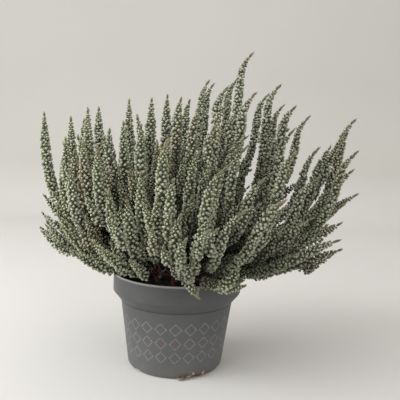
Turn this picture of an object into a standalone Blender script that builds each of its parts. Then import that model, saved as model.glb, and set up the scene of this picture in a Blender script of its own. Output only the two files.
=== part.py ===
"""Potted heather: a silver-green bushy heather in a grey plastic nursery pot, in metres, +Z up.

The origin is the middle of the pot's foot. -Y is the front, as seen in the photograph.
The pot and its soil are turned on the pot's axis. Woody stems stand in holes in the soil and
fork into twigs. Each twig carries one leafy spray, which is a leader with side shoots. The
close-set buds that cover a shoot are relief raised from its surface, larger than life.
Lengths and places are in millimetres until a mesh is made.
"""

import math
import random

import bmesh
import bpy
import numpy as np
from mathutils import Matrix, Vector

MM = 0.001

# Pot: a turned wall with a deep rim band, a rounded foot and drain notches
POT_SIDES = 36
POT_HEIGHT = 95.0
RIM_RADIUS = 65.0
RIM_LIP_WIDTH = 1.5
LIP_ROUND = 0.5
BAND_FOOT_Z = 67.5
BAND_FOOT_RADIUS = 57.7
BAND_CORNER_Z = 76.5
BAND_CORNER_ROUND = 0.8
BODY_TOP_RADIUS = 57.0
BODY_FOOT_RADIUS = 48.6
FOOT_RADIUS = 44.5
FOOT_ROUND = 4.1
WALL = 1.3
FLOOR_TOP_Z = 2.4
PAD_RADIUS = 12.0
FOOT_RING_INNER = 36.0
FOOT_RECESS = 1.0
FOOT_ARC = (-90.0, -7.0)
SHARP_ANGLE = 35.0
DRAIN_NOTCHES = 5
DRAIN_FIRST_ANGLE = 22.0
DRAIN_WIDTH = 15.0
DRAIN_HEIGHT = 3.6
DRAIN_DEPTH = 22.0
DRAIN_RADIUS = 48.0
DRAIN_SIDES = 10

# Soil: fills the pot to a little under the lip
SOIL_SIDES = 24
SOIL_TOP_Z = 84.0
SOIL_GAP = 0.6
SEAT_GAP = 0.3
SOIL_EDGE_DROP = 2.0
SOIL_CROWN = ((50.0, -0.4), (34.0, 0.0), (16.0, 0.6), (0.0, 0.8))
SOIL_BUMP = 0.9
SOIL_BUMP_RADIUS = 55.0
SOIL_WAVE_X = 0.21
SOIL_WAVE_Y = 0.17
HOLE_DEPTH = 12.0
HOLE_CLEARANCE = 0.5
HOLE_SIDES = 8

# Wood: one stem up the middle and a ring of stems round it
RING_STEMS = 6
RING_STEM_RADIUS = 21.0
TRUNK_RADIUS = 2.1
TRUNK_HEIGHT = 14.0
TRUNK_LEAN = 0.45
TRUNK_TAPER = np.array([1.0, 1.0, 0.8])
TRUNK_SIDES = 7
TWIG_RADIUS = 1.05
TWIG_TAPER = np.array([1.25, 1.15, 1.0])
TWIG_SIDES = 4
TWIG_GAP = 0.3
TWIG_FIRST = 1.2
TWIG_STEP = 1.9
TWIG_ELBOW = 0.55
TWIG_SAG = 5.0

# Foliage layout: sprays round the crown on a golden-angle spiral, low ones over the rim
SPRAYS_PER_STEM = 6
SPRAYS = SPRAYS_PER_STEM * (RING_STEMS + 1)
SIDE_SHOOTS = 3
SHELL = 44.0
CROWN = np.array([0.0, 0.0, 85.0])
LOWEST_TIP = math.radians(14.0)
LOWEST_FRONT = math.radians(21.0)
LOWEST_BASE = math.radians(21.0)
BASE_DROP = 0.85
GOLDEN_ANGLE = math.pi * (3.0 - math.sqrt(5.0))
AIM_JITTER = 0.06
REACH = 196.0
REACH_POWER = 0.24
LEAN_RIGHT = 0.30
LEAN_LEFT = 0.11
LEADER_SHARE = (0.93, 1.0)
SIDE_SHARE = (0.70, 0.97)
SIDE_SPREAD = math.tan(math.radians(9.0))
SPREAD_SHARE = (0.8, 1.25)
OFF_AIM = (1.0, -0.7)
TIP_SPACING = 0.135
SPREAD_ROUNDS = 120
FAR = 10.0
GROUP_ROUNDS = 8
LEAST_GAIN = 1e-9
SEED = 13

# Shape of a shoot's path: out from its foot, up, and blown over to +X at the tip
OUTWARD = 0.75
UPTURN = 0.5
LIFT = 0.2
WIND = 0.03
RISE_FROM = 0.42
RISE_SPAN = 0.30
SIDE_UPRIGHT = 0.9
NEAR_UPRIGHT = 0.6
TIP_BLOW = 11.0
BLOW_FROM = (-20.0, 105.0)
BLOW_SPAN = (70.0, 50.0)
BLOW_RISE = 0.2
BLOW_LENGTH = 20.0
START_PULL = 0.34
END_PULL = 0.82
SIDE_STARTS = (0.06, 0.13, 0.19)
SIDE_ANGLE = math.radians(38.0)
PATH_POINTS = 33
FINE_POINTS = 121

# Thickness of a shoot with its leaves
STEM_RADIUS = 1.0
LEAFY_RADIUS = 5.4
LEAFY_TAPER = 75.0
TAPER_POWER = 0.45
TIP_RADIUS = 0.9
LEAFY_FROM = 9.0
LEAFY_FROM_SHARE = 0.12
LEAFY_RISE = 14.0
LEAFY_RISE_SHARE = 0.2

# Bending shoots clear of one another, the soil and the pot
FORK_POINTS = 12
CLEARANCE = 0.7
THIN_ROOM = 2.0
NEAR = 3.0 * LEAFY_RADIUS
SOIL_ROOM = 1.8
LIP_ROOM = 0.6
LIP_INSIDE = 9.0
LIP_OUTSIDE = 3.0
RIM_ROOM = 1.2
BEND_ROUNDS = 320
BEND_REFRESH = 80
BEND_STEP = 0.6
BEND_FADE = 6

# Relief on a shoot: studs in a chequer of rings, each a cluster of the real buds
SHOOT_SIDES = 6
RING_PITCH = 21.0
STUD_HOLLOW = 0.5
STUD_LEAST = 1.2 * STEM_RADIUS
SIDE_START = (0.31, 0.87, 0.38)

# Tips that can be told apart from the front, (x, y, z) in millimetres
SEEN_TIPS = (
    # skyline, left of the middle
    (-135, -10, 250), (-106, -45, 225), (-116, 20, 249), (-108, 50, 249), (-91, -20, 255),
    (-90, 35, 261), (-66, -50, 235), (-53, -55, 242), (-59, 45, 272), (-36, -70, 239),
    (-30, -30, 266), (-18, 55, 279), (-2, -45, 266), (7, 30, 272), (-118, -30, 163),
    (-141, 0, 135), (-114, -25, 206), (-125, 25, 190), (-96, -55, 214), (-97, -65, 198),
    (-87, -60, 223), (-72, -75, 215),
    # skyline, right of the middle
    (15, -60, 256), (26, 20, 292), (34, 65, 295), (42, -30, 280), (60, 45, 300), (68, 0, 318),
    (65, -55, 272), (96, 60, 286), (95, -10, 286), (111, 45, 273), (108, -25, 265),
    (132, 15, 259), (102, -55, 242), (176, 0, 257), (168, -35, 224), (188, 30, 205),
    (160, -30, 172), (187, 10, 180), (139, -15, 114), (132, -30, 226), (166, 40, 216),
    (154, -30, 189), (169, 25, 144), (116, -40, 126), (170, 50, 201),
    # near side, standing free of the shoots behind
    (-32, -105, 199), (-18, -115, 183), (-5, -120, 196), (-59, -95, 184), (-42, -108, 176),
    (55, -90, 224), (37, -110, 207), (69, -100, 198), (89, -105, 177), (15, -95, 218),
    (26, -130, 171), (122, -65, 198),
    # low ones that hang over the rim
    (18, -88, 97), (53, -74, 98), (39, -82, 102), (62, -58, 101), (-40, -66, 105),
    (-17, -74, 107), (-86, -20, 101), (53, -88, 132),
)


def turned(name, profile, sides):
    """A closed solid turned about Z from a closed profile of (radius, z) in millimetres."""
    mesh = bmesh.new()
    ring = [mesh.verts.new((r * MM, 0.0, z * MM)) for r, z in profile]
    edges = [mesh.edges.new(pair) for pair in zip(ring, ring[1:])]
    bmesh.ops.spin(mesh, geom=ring + edges, cent=(0, 0, 0), axis=(0, 0, 1),
                   angle=2 * math.pi, steps=sides, use_merge=False)
    bmesh.ops.remove_doubles(mesh, verts=mesh.verts, dist=1e-6)
    bmesh.ops.recalc_face_normals(mesh, faces=mesh.faces)
    return placed(name, mesh)


def placed(name, mesh):
    """An object in the scene that holds the finished bmesh."""
    data = bpy.data.meshes.new(name)
    mesh.to_mesh(data)
    mesh.free()
    obj = bpy.data.objects.new(name, data)
    bpy.context.collection.objects.link(obj)
    return obj


def arc(centre, radius, start, end, steps):
    """Points of a profile's arc, with angles in degrees from +radius towards +Z."""
    angles = [math.radians(start + (end - start) * i / steps) for i in range(steps + 1)]
    return [(centre[0] + radius * math.cos(a), centre[1] + radius * math.sin(a)) for a in angles]


def cut(obj, cutters):
    """Cuts a joined set of cutters out of an object and removes them."""
    modifier = obj.modifiers.new("cut", "BOOLEAN")
    modifier.operation = "DIFFERENCE"
    modifier.object = cutters
    apply_modifiers(obj)
    bpy.data.objects.remove(cutters)


def apply_modifiers(obj):
    """Makes the evaluated mesh the object's own and drops its modifiers."""
    graph = bpy.context.evaluated_depsgraph_get()
    data = bpy.data.meshes.new_from_object(obj.evaluated_get(graph))
    obj.modifiers.clear()
    obj.data = data


def joined(name, parts):
    """One solid from overlapping ones, which are removed."""
    group = bpy.data.collections.new(name)
    bpy.context.scene.collection.children.link(group)
    first, rest = parts[0], parts[1:]
    for part in rest:
        bpy.context.collection.objects.unlink(part)
        group.objects.link(part)
    modifier = first.modifiers.new("join", "BOOLEAN")
    modifier.operation = "UNION"
    modifier.operand_type = "COLLECTION"
    modifier.collection = group
    modifier.solver = "MANIFOLD"
    apply_modifiers(first)
    for part in rest:
        bpy.data.objects.remove(part)
    bpy.data.collections.remove(group)
    first.name = name
    first.data.name = name
    return first


def material(name, colour, roughness):
    """A plain Principled material with a linear base colour."""
    made = bpy.data.materials.new(name)
    made.use_nodes = True
    shader = made.node_tree.nodes["Principled BSDF"]
    shader.inputs["Base Color"].default_value = (*colour, 1.0)
    shader.inputs["Roughness"].default_value = roughness
    return made


def give(obj, finish, smooth_angle=None):
    """Sets an object's material and, on turned pieces, smooth shading below an angle."""
    obj.data.materials.clear()
    obj.data.materials.append(finish)
    if smooth_angle is not None:
        obj.data.shade_smooth()
        obj.data.set_sharp_from_angle(angle=math.radians(smooth_angle))


def pot_profile():
    """The pot wall's closed outline, outer side first, from the axis and back to it."""
    inner_rim = RIM_RADIUS - WALL
    outer = [
        (0.0, 0.0), (PAD_RADIUS, 0.0), (PAD_RADIUS + FOOT_RECESS, FOOT_RECESS),
        (FOOT_RING_INNER - FOOT_RECESS, FOOT_RECESS), (FOOT_RING_INNER, 0.0),
        *arc((FOOT_RADIUS, FOOT_ROUND), FOOT_ROUND, *FOOT_ARC, 2),
        (BODY_TOP_RADIUS, BAND_FOOT_Z - LIP_ROUND), (BAND_FOOT_RADIUS, BAND_FOOT_Z),
        (RIM_RADIUS - BAND_CORNER_ROUND, BAND_CORNER_Z - BAND_CORNER_ROUND),
        (RIM_RADIUS, BAND_CORNER_Z + BAND_CORNER_ROUND),
        (RIM_RADIUS, POT_HEIGHT - LIP_ROUND), (RIM_RADIUS - LIP_ROUND, POT_HEIGHT),
    ]
    inner = [
        (RIM_RADIUS - RIM_LIP_WIDTH, POT_HEIGHT), (inner_rim, BAND_CORNER_Z + WALL),
        (inner_rim - BAND_CORNER_ROUND, BAND_CORNER_Z), (BAND_FOOT_RADIUS - WALL, BAND_FOOT_Z + WALL),
        (BODY_TOP_RADIUS - WALL, BAND_FOOT_Z - LIP_ROUND),
        (BODY_FOOT_RADIUS - WALL, FOOT_ROUND + BAND_CORNER_ROUND),
        (FOOT_RADIUS, FLOOR_TOP_Z), (0.0, FLOOR_TOP_Z),
    ]
    return outer + inner


def drain_cutters():
    """Arched cutters through the corner of the foot, one for each drain notch."""
    mesh = bmesh.new()
    shape = Matrix.Diagonal((DRAIN_HEIGHT * MM, DRAIN_WIDTH / 2 * MM, DRAIN_DEPTH * MM, 1.0))
    along_x = Matrix.Rotation(math.pi / 2, 4, "Y")
    for i in range(DRAIN_NOTCHES):
        angle = math.radians(DRAIN_FIRST_ANGLE - 90.0 + i * 360.0 / DRAIN_NOTCHES)
        out = Matrix.Translation((DRAIN_RADIUS * MM, 0, 0))
        matrix = Matrix.Rotation(angle, 4, "Z") @ out @ along_x @ shape
        bmesh.ops.create_cone(mesh, cap_ends=True, segments=DRAIN_SIDES, radius1=1.0,
                              radius2=1.0, depth=1.0, matrix=matrix)
    return placed("drain_cutters", mesh)


def build_pot(finish):
    pot = turned("pot", pot_profile(), POT_SIDES)
    cut(pot, drain_cutters())
    give(pot, finish, SHARP_ANGLE)


def soil_profile():
    """The soil's outline: the pot's inside less a gap, with a slightly raised top."""
    side = SOIL_GAP + WALL
    foot_z = FLOOR_TOP_Z + SEAT_GAP
    edge = RIM_RADIUS - side - SEAT_GAP
    return [
        (0.0, foot_z), (FOOT_RADIUS - SOIL_GAP, foot_z),
        (BODY_FOOT_RADIUS - side, FOOT_ROUND + WALL), (BODY_TOP_RADIUS - side, BAND_FOOT_Z),
        (edge - SOIL_GAP, BAND_CORNER_Z + SOIL_GAP), (edge, SOIL_TOP_Z - SOIL_EDGE_DROP),
        *((radius, SOIL_TOP_Z + rise) for radius, rise in SOIL_CROWN),
    ]


def build_soil(finish, stems):
    """The soil with its top broken up by waves and a plain hole for each woody stem."""
    soil = turned("soil", soil_profile(), SOIL_SIDES)
    for vertex in soil.data.vertices:
        x, y, z = (c / MM for c in vertex.co)
        if z > SOIL_TOP_Z - 1.0 and math.hypot(x, y) < SOIL_BUMP_RADIUS:
            wave = math.sin(SOIL_WAVE_X * x + 1.0) * math.cos(SOIL_WAVE_Y * y)
            vertex.co.z += SOIL_BUMP * MM * wave
    radius = (TRUNK_RADIUS + HOLE_CLEARANCE) * MM
    mesh = bmesh.new()
    for foot, _, _ in stems:
        where = Vector((foot[0], foot[1], SOIL_TOP_Z)) * MM
        bmesh.ops.create_cone(mesh, cap_ends=True, segments=HOLE_SIDES, radius1=radius,
                              radius2=radius, depth=2 * HOLE_DEPTH * MM,
                              matrix=Matrix.Translation(where))
    cut(soil, placed("hole_cutters", mesh))
    give(soil, finish)


def unit(vector):
    return vector / np.linalg.norm(vector)


def direction(azimuth, elevation):
    flat = math.cos(elevation)
    return np.array([flat * math.cos(azimuth), flat * math.sin(azimuth), math.sin(elevation)])


def lowest(azimuth):
    """The least elevation of a tip: a little higher at the front, where the soil shows."""
    front = max(0.0, -math.sin(azimuth))
    return LOWEST_TIP + (LOWEST_FRONT - LOWEST_TIP) * front


def reach(azimuth, elevation):
    """How far tips stand from the crown: a flattened dome that leans to +X."""
    lean = LEAN_RIGHT if math.cos(azimuth) > 0 else LEAN_LEFT
    return (REACH * math.sin(elevation) ** REACH_POWER
            * (1.0 + lean * math.cos(azimuth) * math.cos(elevation)))


def tip_heading(tip):
    """The way a shoot points near its tip. High ones turn up and lean a little to +X."""
    out = unit(tip - CROWN)
    lift = UPTURN * max(0.0, out[2])
    rise = float(np.clip((out[2] - RISE_FROM) / RISE_SPAN, 0.0, 1.0))
    upright = np.array([1.0 - SIDE_UPRIGHT * rise, 1.0 - NEAR_UPRIGHT * rise, 1.0])
    blown = np.array([WIND * rise, 0.0, LIFT * rise + lift])
    return unit(OUTWARD * (1.0 - lift) * upright * out + blown)


def curve(start, start_way, end, end_way):
    """A smooth path of PATH_POINTS even steps whose last stretch is blown over to +X."""
    exposed = np.clip((end[[0, 2]] - BLOW_FROM) / BLOW_SPAN, 0.0, 1.0).prod()
    blow = TIP_BLOW * exposed * np.array([1.0, 0.0, BLOW_RISE])
    span = np.linalg.norm(end - start)
    t = np.linspace(0.0, 1.0, FINE_POINTS)[:, None]
    a, b, d = start, start + start_way * START_PULL * span, end - blow
    c = d - end_way * END_PULL * span
    path = (1 - t) ** 3 * a + 3 * (1 - t) ** 2 * t * b + 3 * (1 - t) * t**2 * c + t**3 * d
    left = np.linalg.norm(np.diff(path, axis=0), axis=1)[::-1].cumsum()[::-1]
    share = np.clip(1.0 - np.append(left, 0.0) / BLOW_LENGTH, 0.0, 1.0)
    path = path + share[:, None] ** 2 * blow
    length = np.linalg.norm(np.diff(path, axis=0), axis=1).sum()
    return at_lengths(path, np.linspace(0.0, length, PATH_POINTS))


def spray_aims(draw):
    """(azimuth, elevation) of each spray, from straight up to just over the rim."""
    aims = []
    for i in range(SPRAYS):
        azimuth = i * GOLDEN_ANGLE % (2 * math.pi) + draw.uniform(-AIM_JITTER, AIM_JITTER)
        low = math.sin(lowest(azimuth))
        aims.append((azimuth, math.asin(1.0 - (i + 0.5) / SPRAYS * (1.0 - low))))
    return aims


def shoot_tips(draw, aims):
    """All tips, with the nearest ones moved onto the tips seen and the rest spread out."""
    tips = []
    for azimuth, elevation in aims:
        aim = direction(azimuth, elevation)
        side = unit(np.cross(aim, direction(azimuth + OFF_AIM[0], elevation + OFF_AIM[1])))
        across = np.cross(aim, side)
        turn = draw.uniform(0, 2 * math.pi)
        for k in range(1 + SIDE_SHOOTS):
            spread = SIDE_SPREAD * draw.uniform(*SPREAD_SHARE) if k else 0.0
            angle = turn + k * 2 * math.pi / SIDE_SHOOTS
            way = unit(aim + spread * (math.cos(angle) * side + math.sin(angle) * across))
            way[2] = max(way[2], math.sin(lowest(azimuth)))
            share = draw.uniform(*(SIDE_SHARE if k else LEADER_SHARE))
            length = share * reach(azimuth, math.asin(min(1.0, way[2])))
            tips.append(CROWN + unit(way) * length)
    tips = np.array(tips)
    free = np.ones(len(tips), bool)
    for target in np.array(SEEN_TIPS, float):
        gaps = np.where(free, np.linalg.norm(tips - target, axis=1), np.inf)
        nearest = int(gaps.argmin())
        tips[nearest] = target
        free[nearest] = False
    return spread_out(tips, free)


def spread_out(tips, free):
    """Turns free tips about the crown until no two lie too near the same direction."""
    lengths = np.linalg.norm(tips - CROWN, axis=1)[:, None]
    ways = (tips - CROWN) / lengths
    for _ in range(SPREAD_ROUNDS):
        apart = ways[:, None] - ways[None]
        gap = np.linalg.norm(apart, axis=2) + FAR * np.eye(len(ways))
        short = np.clip(TIP_SPACING - gap, 0.0, None) / gap
        ways = ways + 0.5 * free[:, None] * (short[:, :, None] * apart).sum(axis=1)
        azimuths = np.arctan2(ways[:, 1], ways[:, 0])
        low = np.sin([lowest(azimuth) for azimuth in azimuths])
        ways[:, 2] = np.where(free, np.maximum(ways[:, 2], low), ways[:, 2])
        ways /= np.linalg.norm(ways, axis=1)[:, None]
    return CROWN + ways * lengths


def by_spray(tips):
    """The tips shared out to sprays so that each spray's tips lie together as seen from the crown.

    The highest sprays come first, for the middle stem, then the rest in order round the plant.
    """
    ways = (tips - CROWN) / np.linalg.norm(tips - CROWN, axis=1)[:, None]
    group = np.repeat(np.arange(SPRAYS), 1 + SIDE_SHOOTS)
    every = np.arange(len(tips))
    for _ in range(GROUP_ROUNDS):
        centres = np.array([ways[group == g].mean(axis=0) for g in range(SPRAYS)])
        cost = ((ways[:, None] - centres[None]) ** 2).sum(axis=2)
        best = 1.0
        while best > LEAST_GAIN:
            other = cost[:, group]
            own = cost[every, group]
            gain = own[:, None] + own[None] - other - other.T
            a, b = np.unravel_index(gain.argmax(), gain.shape)
            best = gain[a, b]
            if best > LEAST_GAIN:
                group[a], group[b] = group[b], group[a]
    centres = np.array([ways[group == g].mean(axis=0) for g in range(SPRAYS)])
    high = np.argsort(-centres[:, 2])[:SPRAYS_PER_STEM]
    around = [g for g in np.argsort(np.arctan2(centres[:, 1], centres[:, 0])) if g not in high]
    return [tips[group == g] for g in [*high, *around]]


def path_radii(path):
    """Radius of a shoot's leafy surface at each point of its path, bare stem first."""
    steps = np.linalg.norm(np.diff(path, axis=0), axis=1)
    along = np.concatenate([[0.0], np.cumsum(steps)])
    return leafy_radius(along, along[-1])


def leafy_from(length):
    """How far from its foot a shoot is bare."""
    return min(LEAFY_FROM, LEAFY_FROM_SHARE * length)


def leafy_radius(along, length):
    """A shoot's leafy radius: bare stem, a short swell, then a long taper to the tip."""
    rise = min(LEAFY_RISE, LEAFY_RISE_SHARE * length)
    swell = np.clip((along - leafy_from(length)) / rise, 0.0, 1.0)
    taper = np.clip((length - along) / min(LEAFY_TAPER, length), 0.0, 1.0) ** TAPER_POWER
    full = TIP_RADIUS + (LEAFY_RADIUS - TIP_RADIUS) * taper
    return STEM_RADIUS + (full - STEM_RADIUS) * swell


def close_pairs(points, sprays):
    """Index pairs of path points of different shoots that are near one another.

    Shoots of one spray are compared only past their fork.
    """
    shoots = np.repeat(np.arange(len(sprays)), PATH_POINTS)
    owner = np.repeat(sprays, PATH_POINTS)
    forked = np.tile(np.arange(PATH_POINTS) >= FORK_POINTS, len(sprays))
    firsts, seconds = [], []
    for shoot in range(len(sprays) - 1):
        mine = np.nonzero(shoots == shoot)[0]
        others = np.nonzero(shoots > shoot)[0]
        gap = np.linalg.norm(points[mine, None] - points[None, others], axis=2)
        apart = (owner[others] != sprays[shoot])[None] | (forked[mine][:, None] & forked[others][None])
        i, j = np.nonzero((gap < NEAR) & apart)
        firsts.append(mine[i])
        seconds.append(others[j])
    return np.concatenate(firsts), np.concatenate(seconds)


def bend_clear(paths, sprays, parents):
    """Bends shoots away from one another, and all of them off the pot and the soil.

    A side shoot's foot follows the point of the leader that it grows from.
    """
    radii = np.array([path_radii(path) for path in paths]).ravel()
    wide = np.maximum(radii, THIN_ROOM)
    rest = np.array(paths)
    moved = np.zeros_like(rest)
    for turn in range(BEND_ROUNDS):
        points = (rest + moved).reshape(-1, 3)
        if turn % BEND_REFRESH == 0:
            first, second = close_pairs(points, sprays)
            room = wide[first] + wide[second] + CLEARANCE
        apart = points[first] - points[second]
        distance = np.linalg.norm(apart, axis=1)
        push = apart / distance[:, None] * (0.5 * np.clip(room - distance, 0, None))[:, None]
        shift = off_the_pot(points, radii)
        for axis in range(3):
            shift[:, axis] += np.bincount(first, push[:, axis], len(points))
            shift[:, axis] -= np.bincount(second, push[:, axis], len(points))
        shift = shift.reshape(rest.shape)
        for _ in range(2):
            shift[:, 1:-1] = 0.25 * shift[:, :-2] + 0.5 * shift[:, 1:-1] + 0.25 * shift[:, 2:]
        moved += BEND_STEP * shift
        for i, (parent, index) in enumerate(parents):
            held = np.zeros(3) if parent is None else moved[parent, index]
            moved[i, :BEND_FADE] += np.linspace(1.0, 0.0, BEND_FADE)[:, None] * (held - moved[i, 0])
    return rest + moved


def off_the_pot(points, radii):
    """The shift that lifts points over the soil and the lip, or holds them outside the rim."""
    out = np.hypot(points[:, 0], points[:, 1])
    floor = np.where(out < RIM_RADIUS - LIP_INSIDE, SOIL_TOP_Z + SOIL_ROOM, POT_HEIGHT + LIP_ROOM)
    over = out < RIM_RADIUS + LIP_OUTSIDE
    lift = np.where(over, np.clip(floor + radii - points[:, 2], 0, None), 0.0)
    beside = ~over & (points[:, 2] < POT_HEIGHT + LIP_OUTSIDE)
    away = np.where(beside, np.clip(RIM_RADIUS + RIM_ROOM + radii - out, 0, None), 0.0)
    way = points[:, :2] / np.maximum(out, 1e-9)[:, None]
    return np.column_stack([way * away[:, None], lift])


def plan_foliage():
    """(paths, spray of each path, bases): every shoot's path and each spray's base and heading."""
    draw = random.Random(SEED)
    paths, sprays, parents, bases = [], [], [], []
    for s, tips in enumerate(by_spray(shoot_tips(draw, spray_aims(draw)))):
        middle = unit(np.mean([unit(tip - CROWN) for tip in tips], axis=0))
        middle[2] = max(BASE_DROP * middle[2], math.sin(LOWEST_BASE))
        heading = unit(middle)
        base = CROWN + heading * SHELL
        bases.append((base, heading))
        tips = sorted(tips, key=lambda tip: -unit(tip - CROWN).dot(heading))
        leader = len(paths)
        paths.append(curve(base, heading, tips[0], tip_heading(tips[0])))
        parents.append((None, 0))
        for share, tip in zip(SIDE_STARTS, tips[1:]):
            index = round(share * (PATH_POINTS - 1))
            start = paths[leader][index]
            along = unit(paths[leader][index + 1] - start)
            side = unit(tip - start)
            side = unit(side - side.dot(along) * along)
            way = math.cos(SIDE_ANGLE) * along + math.sin(SIDE_ANGLE) * side
            paths.append(curve(start, way, tip, tip_heading(tip)))
            parents.append((leader, index))
        sprays.extend([s] * (1 + SIDE_SHOOTS))
    return bend_clear(paths, np.array(sprays), parents), sprays, bases


def woody_stems(bases):
    """The path of each woody stem, the middle one first: straight in its hole, then leaning."""
    stems = []
    for stem in range(RING_STEMS + 1):
        mine = bases[stem * SPRAYS_PER_STEM:(stem + 1) * SPRAYS_PER_STEM]
        middle = np.mean([base for base, _ in mine], axis=0)
        out = unit(np.array([middle[0], middle[1], 0.0])) if stem else np.zeros(3)
        foot = out * RING_STEM_RADIUS + np.array([0.0, 0.0, SOIL_TOP_Z - HOLE_DEPTH + SEAT_GAP])
        knee = foot + np.array([0.0, 0.0, HOLE_DEPTH])
        head = knee + np.array([0.0, 0.0, TRUNK_HEIGHT]) + out * TRUNK_HEIGHT * TRUNK_LEAN
        stems.append(np.array([foot, knee, head]))
    return stems


def frames(path):
    """Two side vectors at each point of a path, carried along it without twist."""
    ways = np.gradient(path, axis=0)
    ways /= np.linalg.norm(ways, axis=1)[:, None]
    side = unit(np.cross(ways[0], SIDE_START))
    sides = []
    for way in ways:
        side = unit(side - side.dot(way) * way)
        sides.append(side)
    sides = np.array(sides)
    return sides, np.cross(ways, sides)


def tube(name, path, radii, sides, hollow=1.0, start=None, end=None):
    """A closed solid along a path. A hollow under 1 sinks alternate corners into a chequer.

    A start or end point closes that end as a point, and without one the end is flat.
    """
    first, second = frames(path)
    mesh = bmesh.new()
    rings = []
    for j, (point, radius) in enumerate(zip(path, radii)):
        ring = []
        for i in range(sides):
            angle = 2 * math.pi * i / sides
            sunk = (i + j) % 2 and radius > STUD_LEAST
            size = max(radius * hollow, STEM_RADIUS) if sunk else radius
            corner = point + size * (math.cos(angle) * first[j] + math.sin(angle) * second[j])
            ring.append(mesh.verts.new(corner * MM))
        rings.append(ring)
    for low, high in zip(rings, rings[1:]):
        for i in range(sides):
            k = (i + 1) % sides
            mesh.faces.new((low[i], low[k], high[k]))
            mesh.faces.new((low[i], high[k], high[i]))
    for ring, point in ((rings[0], start), (rings[-1], end)):
        if point is None:
            mesh.faces.new(ring)
            continue
        apex = mesh.verts.new(point * MM)
        for i in range(sides):
            mesh.faces.new((ring[i], ring[(i + 1) % sides], apex))
    bmesh.ops.recalc_face_normals(mesh, faces=mesh.faces)
    return placed(name, mesh)


def at_lengths(path, lengths):
    """Points of a path at the given distances along it."""
    along = np.concatenate([[0.0], np.cumsum(np.linalg.norm(np.diff(path, axis=0), axis=1))])
    return np.column_stack([np.interp(lengths, along, path[:, axis]) for axis in range(3)])


def shoot(name, path, is_leader):
    """One leafy shoot: a bare stem, then rings of studs that shrink to a pointed tip."""
    length = np.linalg.norm(np.diff(path, axis=0), axis=1).sum()
    leafy = length - leafy_from(length)
    rings = max(3, round(leafy / RING_PITCH))
    stations = leafy_from(length) + leafy * np.arange(rings) / rings
    start = TWIG_GAP if is_leader else 0.0
    return tube(name, at_lengths(path, stations), leafy_radius(stations, length), SHOOT_SIDES,
                STUD_HOLLOW, at_lengths(path, [start])[0], at_lengths(path, [length])[0])


def build_sprays(finish, paths, sprays):
    """One node for each spray: its leader and side shoots joined where they fork."""
    for s in range(SPRAYS):
        mine = [i for i, owner in enumerate(sprays) if owner == s]
        parts = [shoot(f"shoot_{i}", paths[i], i == mine[0]) for i in mine]
        give(joined(f"spray_{s + 1:02d}", parts), finish)


def build_stems(finish, stems, bases):
    """One node for each woody stem: a trunk out of the soil with a twig to each spray."""
    for number, path in enumerate(stems):
        length = np.linalg.norm(np.diff(path, axis=0), axis=1).sum()
        parts = [tube("trunk", path, TRUNK_RADIUS * TRUNK_TAPER, TRUNK_SIDES)]
        mine = bases[number * SPRAYS_PER_STEM:(number + 1) * SPRAYS_PER_STEM]
        for k, (base, heading) in enumerate(mine):
            start = at_lengths(path, [length - TWIG_FIRST - TWIG_STEP * k])[0]
            elbow = start + TWIG_ELBOW * (base - start) + TWIG_SAG * (unit(base - start) - heading)
            twig = np.array([start, elbow, base])
            parts.append(tube(f"twig_{k}", twig, TWIG_RADIUS * TWIG_TAPER, TWIG_SIDES))
        give(joined(f"woody_stem_{number + 1}", parts), finish)


def main():
    for obj in list(bpy.data.objects):
        bpy.data.objects.remove(obj)
    plastic = material("pot_plastic", (0.115, 0.120, 0.119), 0.55)
    peat = material("soil_peat", (0.020, 0.014, 0.010), 0.95)
    bark = material("stem_bark", (0.150, 0.075, 0.045), 0.80)
    leaf = material("heather_leaf", (0.250, 0.290, 0.200), 0.75)
    paths, sprays, bases = plan_foliage()
    stems = woody_stems(bases)
    build_pot(plastic)
    build_soil(peat, stems)
    build_stems(bark, stems, bases)
    build_sprays(leaf, paths, sprays)


main()
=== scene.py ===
"""Looks of the potted heather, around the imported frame, in metres with +Z up.

The shoots follow the same seeded paths as the solids that they replace. Each shoot has a slim
core and whorls of small closed buds, which give way to scale leaves at its thin tip. Lengths
and places are in millimetres until a mesh is made.
"""

import math
import random

import bmesh
import bpy
import numpy as np
from mathutils import Matrix, Vector, noise


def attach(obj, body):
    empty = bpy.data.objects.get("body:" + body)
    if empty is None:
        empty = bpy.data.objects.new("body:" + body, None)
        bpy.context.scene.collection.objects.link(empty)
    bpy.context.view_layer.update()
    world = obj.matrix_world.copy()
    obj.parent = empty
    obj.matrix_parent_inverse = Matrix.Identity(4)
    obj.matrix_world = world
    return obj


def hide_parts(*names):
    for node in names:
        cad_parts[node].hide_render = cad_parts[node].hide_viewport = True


MM = 0.001
UP = np.array([0.0, 0.0, 1.0])

# Pot: a turned wall with a deep rim band, a rounded foot and drain notches
POT_HEIGHT = 95.0
RIM_RADIUS = 65.0
RIM_LIP_WIDTH = 1.5
LIP_ROUND = 0.5
BAND_FOOT_Z = 67.5
BAND_FOOT_RADIUS = 57.7
BAND_CORNER_Z = 76.5
BAND_CORNER_ROUND = 0.8
BODY_TOP_RADIUS = 57.0
BODY_FOOT_RADIUS = 48.6
FOOT_RADIUS = 44.5
FOOT_ROUND = 4.1
WALL = 1.3
FLOOR_TOP_Z = 2.4
PAD_RADIUS = 12.0
FOOT_RING_INNER = 36.0
FOOT_RECESS = 1.0
FOOT_ARC = (-90.0, -7.0)
FOOT_STEPS = 8
DRAIN_NOTCHES = 5
DRAIN_FIRST_ANGLE = 22.0
DRAIN_WIDTH = 15.0
DRAIN_HEIGHT = 3.6
DRAIN_DEPTH = 22.0
DRAIN_RADIUS = 48.0

# Soil: fills the pot to a little under the lip
SOIL_TOP_Z = 84.0
SOIL_GAP = 0.6
SEAT_GAP = 0.3
HOLE_DEPTH = 12.0

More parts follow.
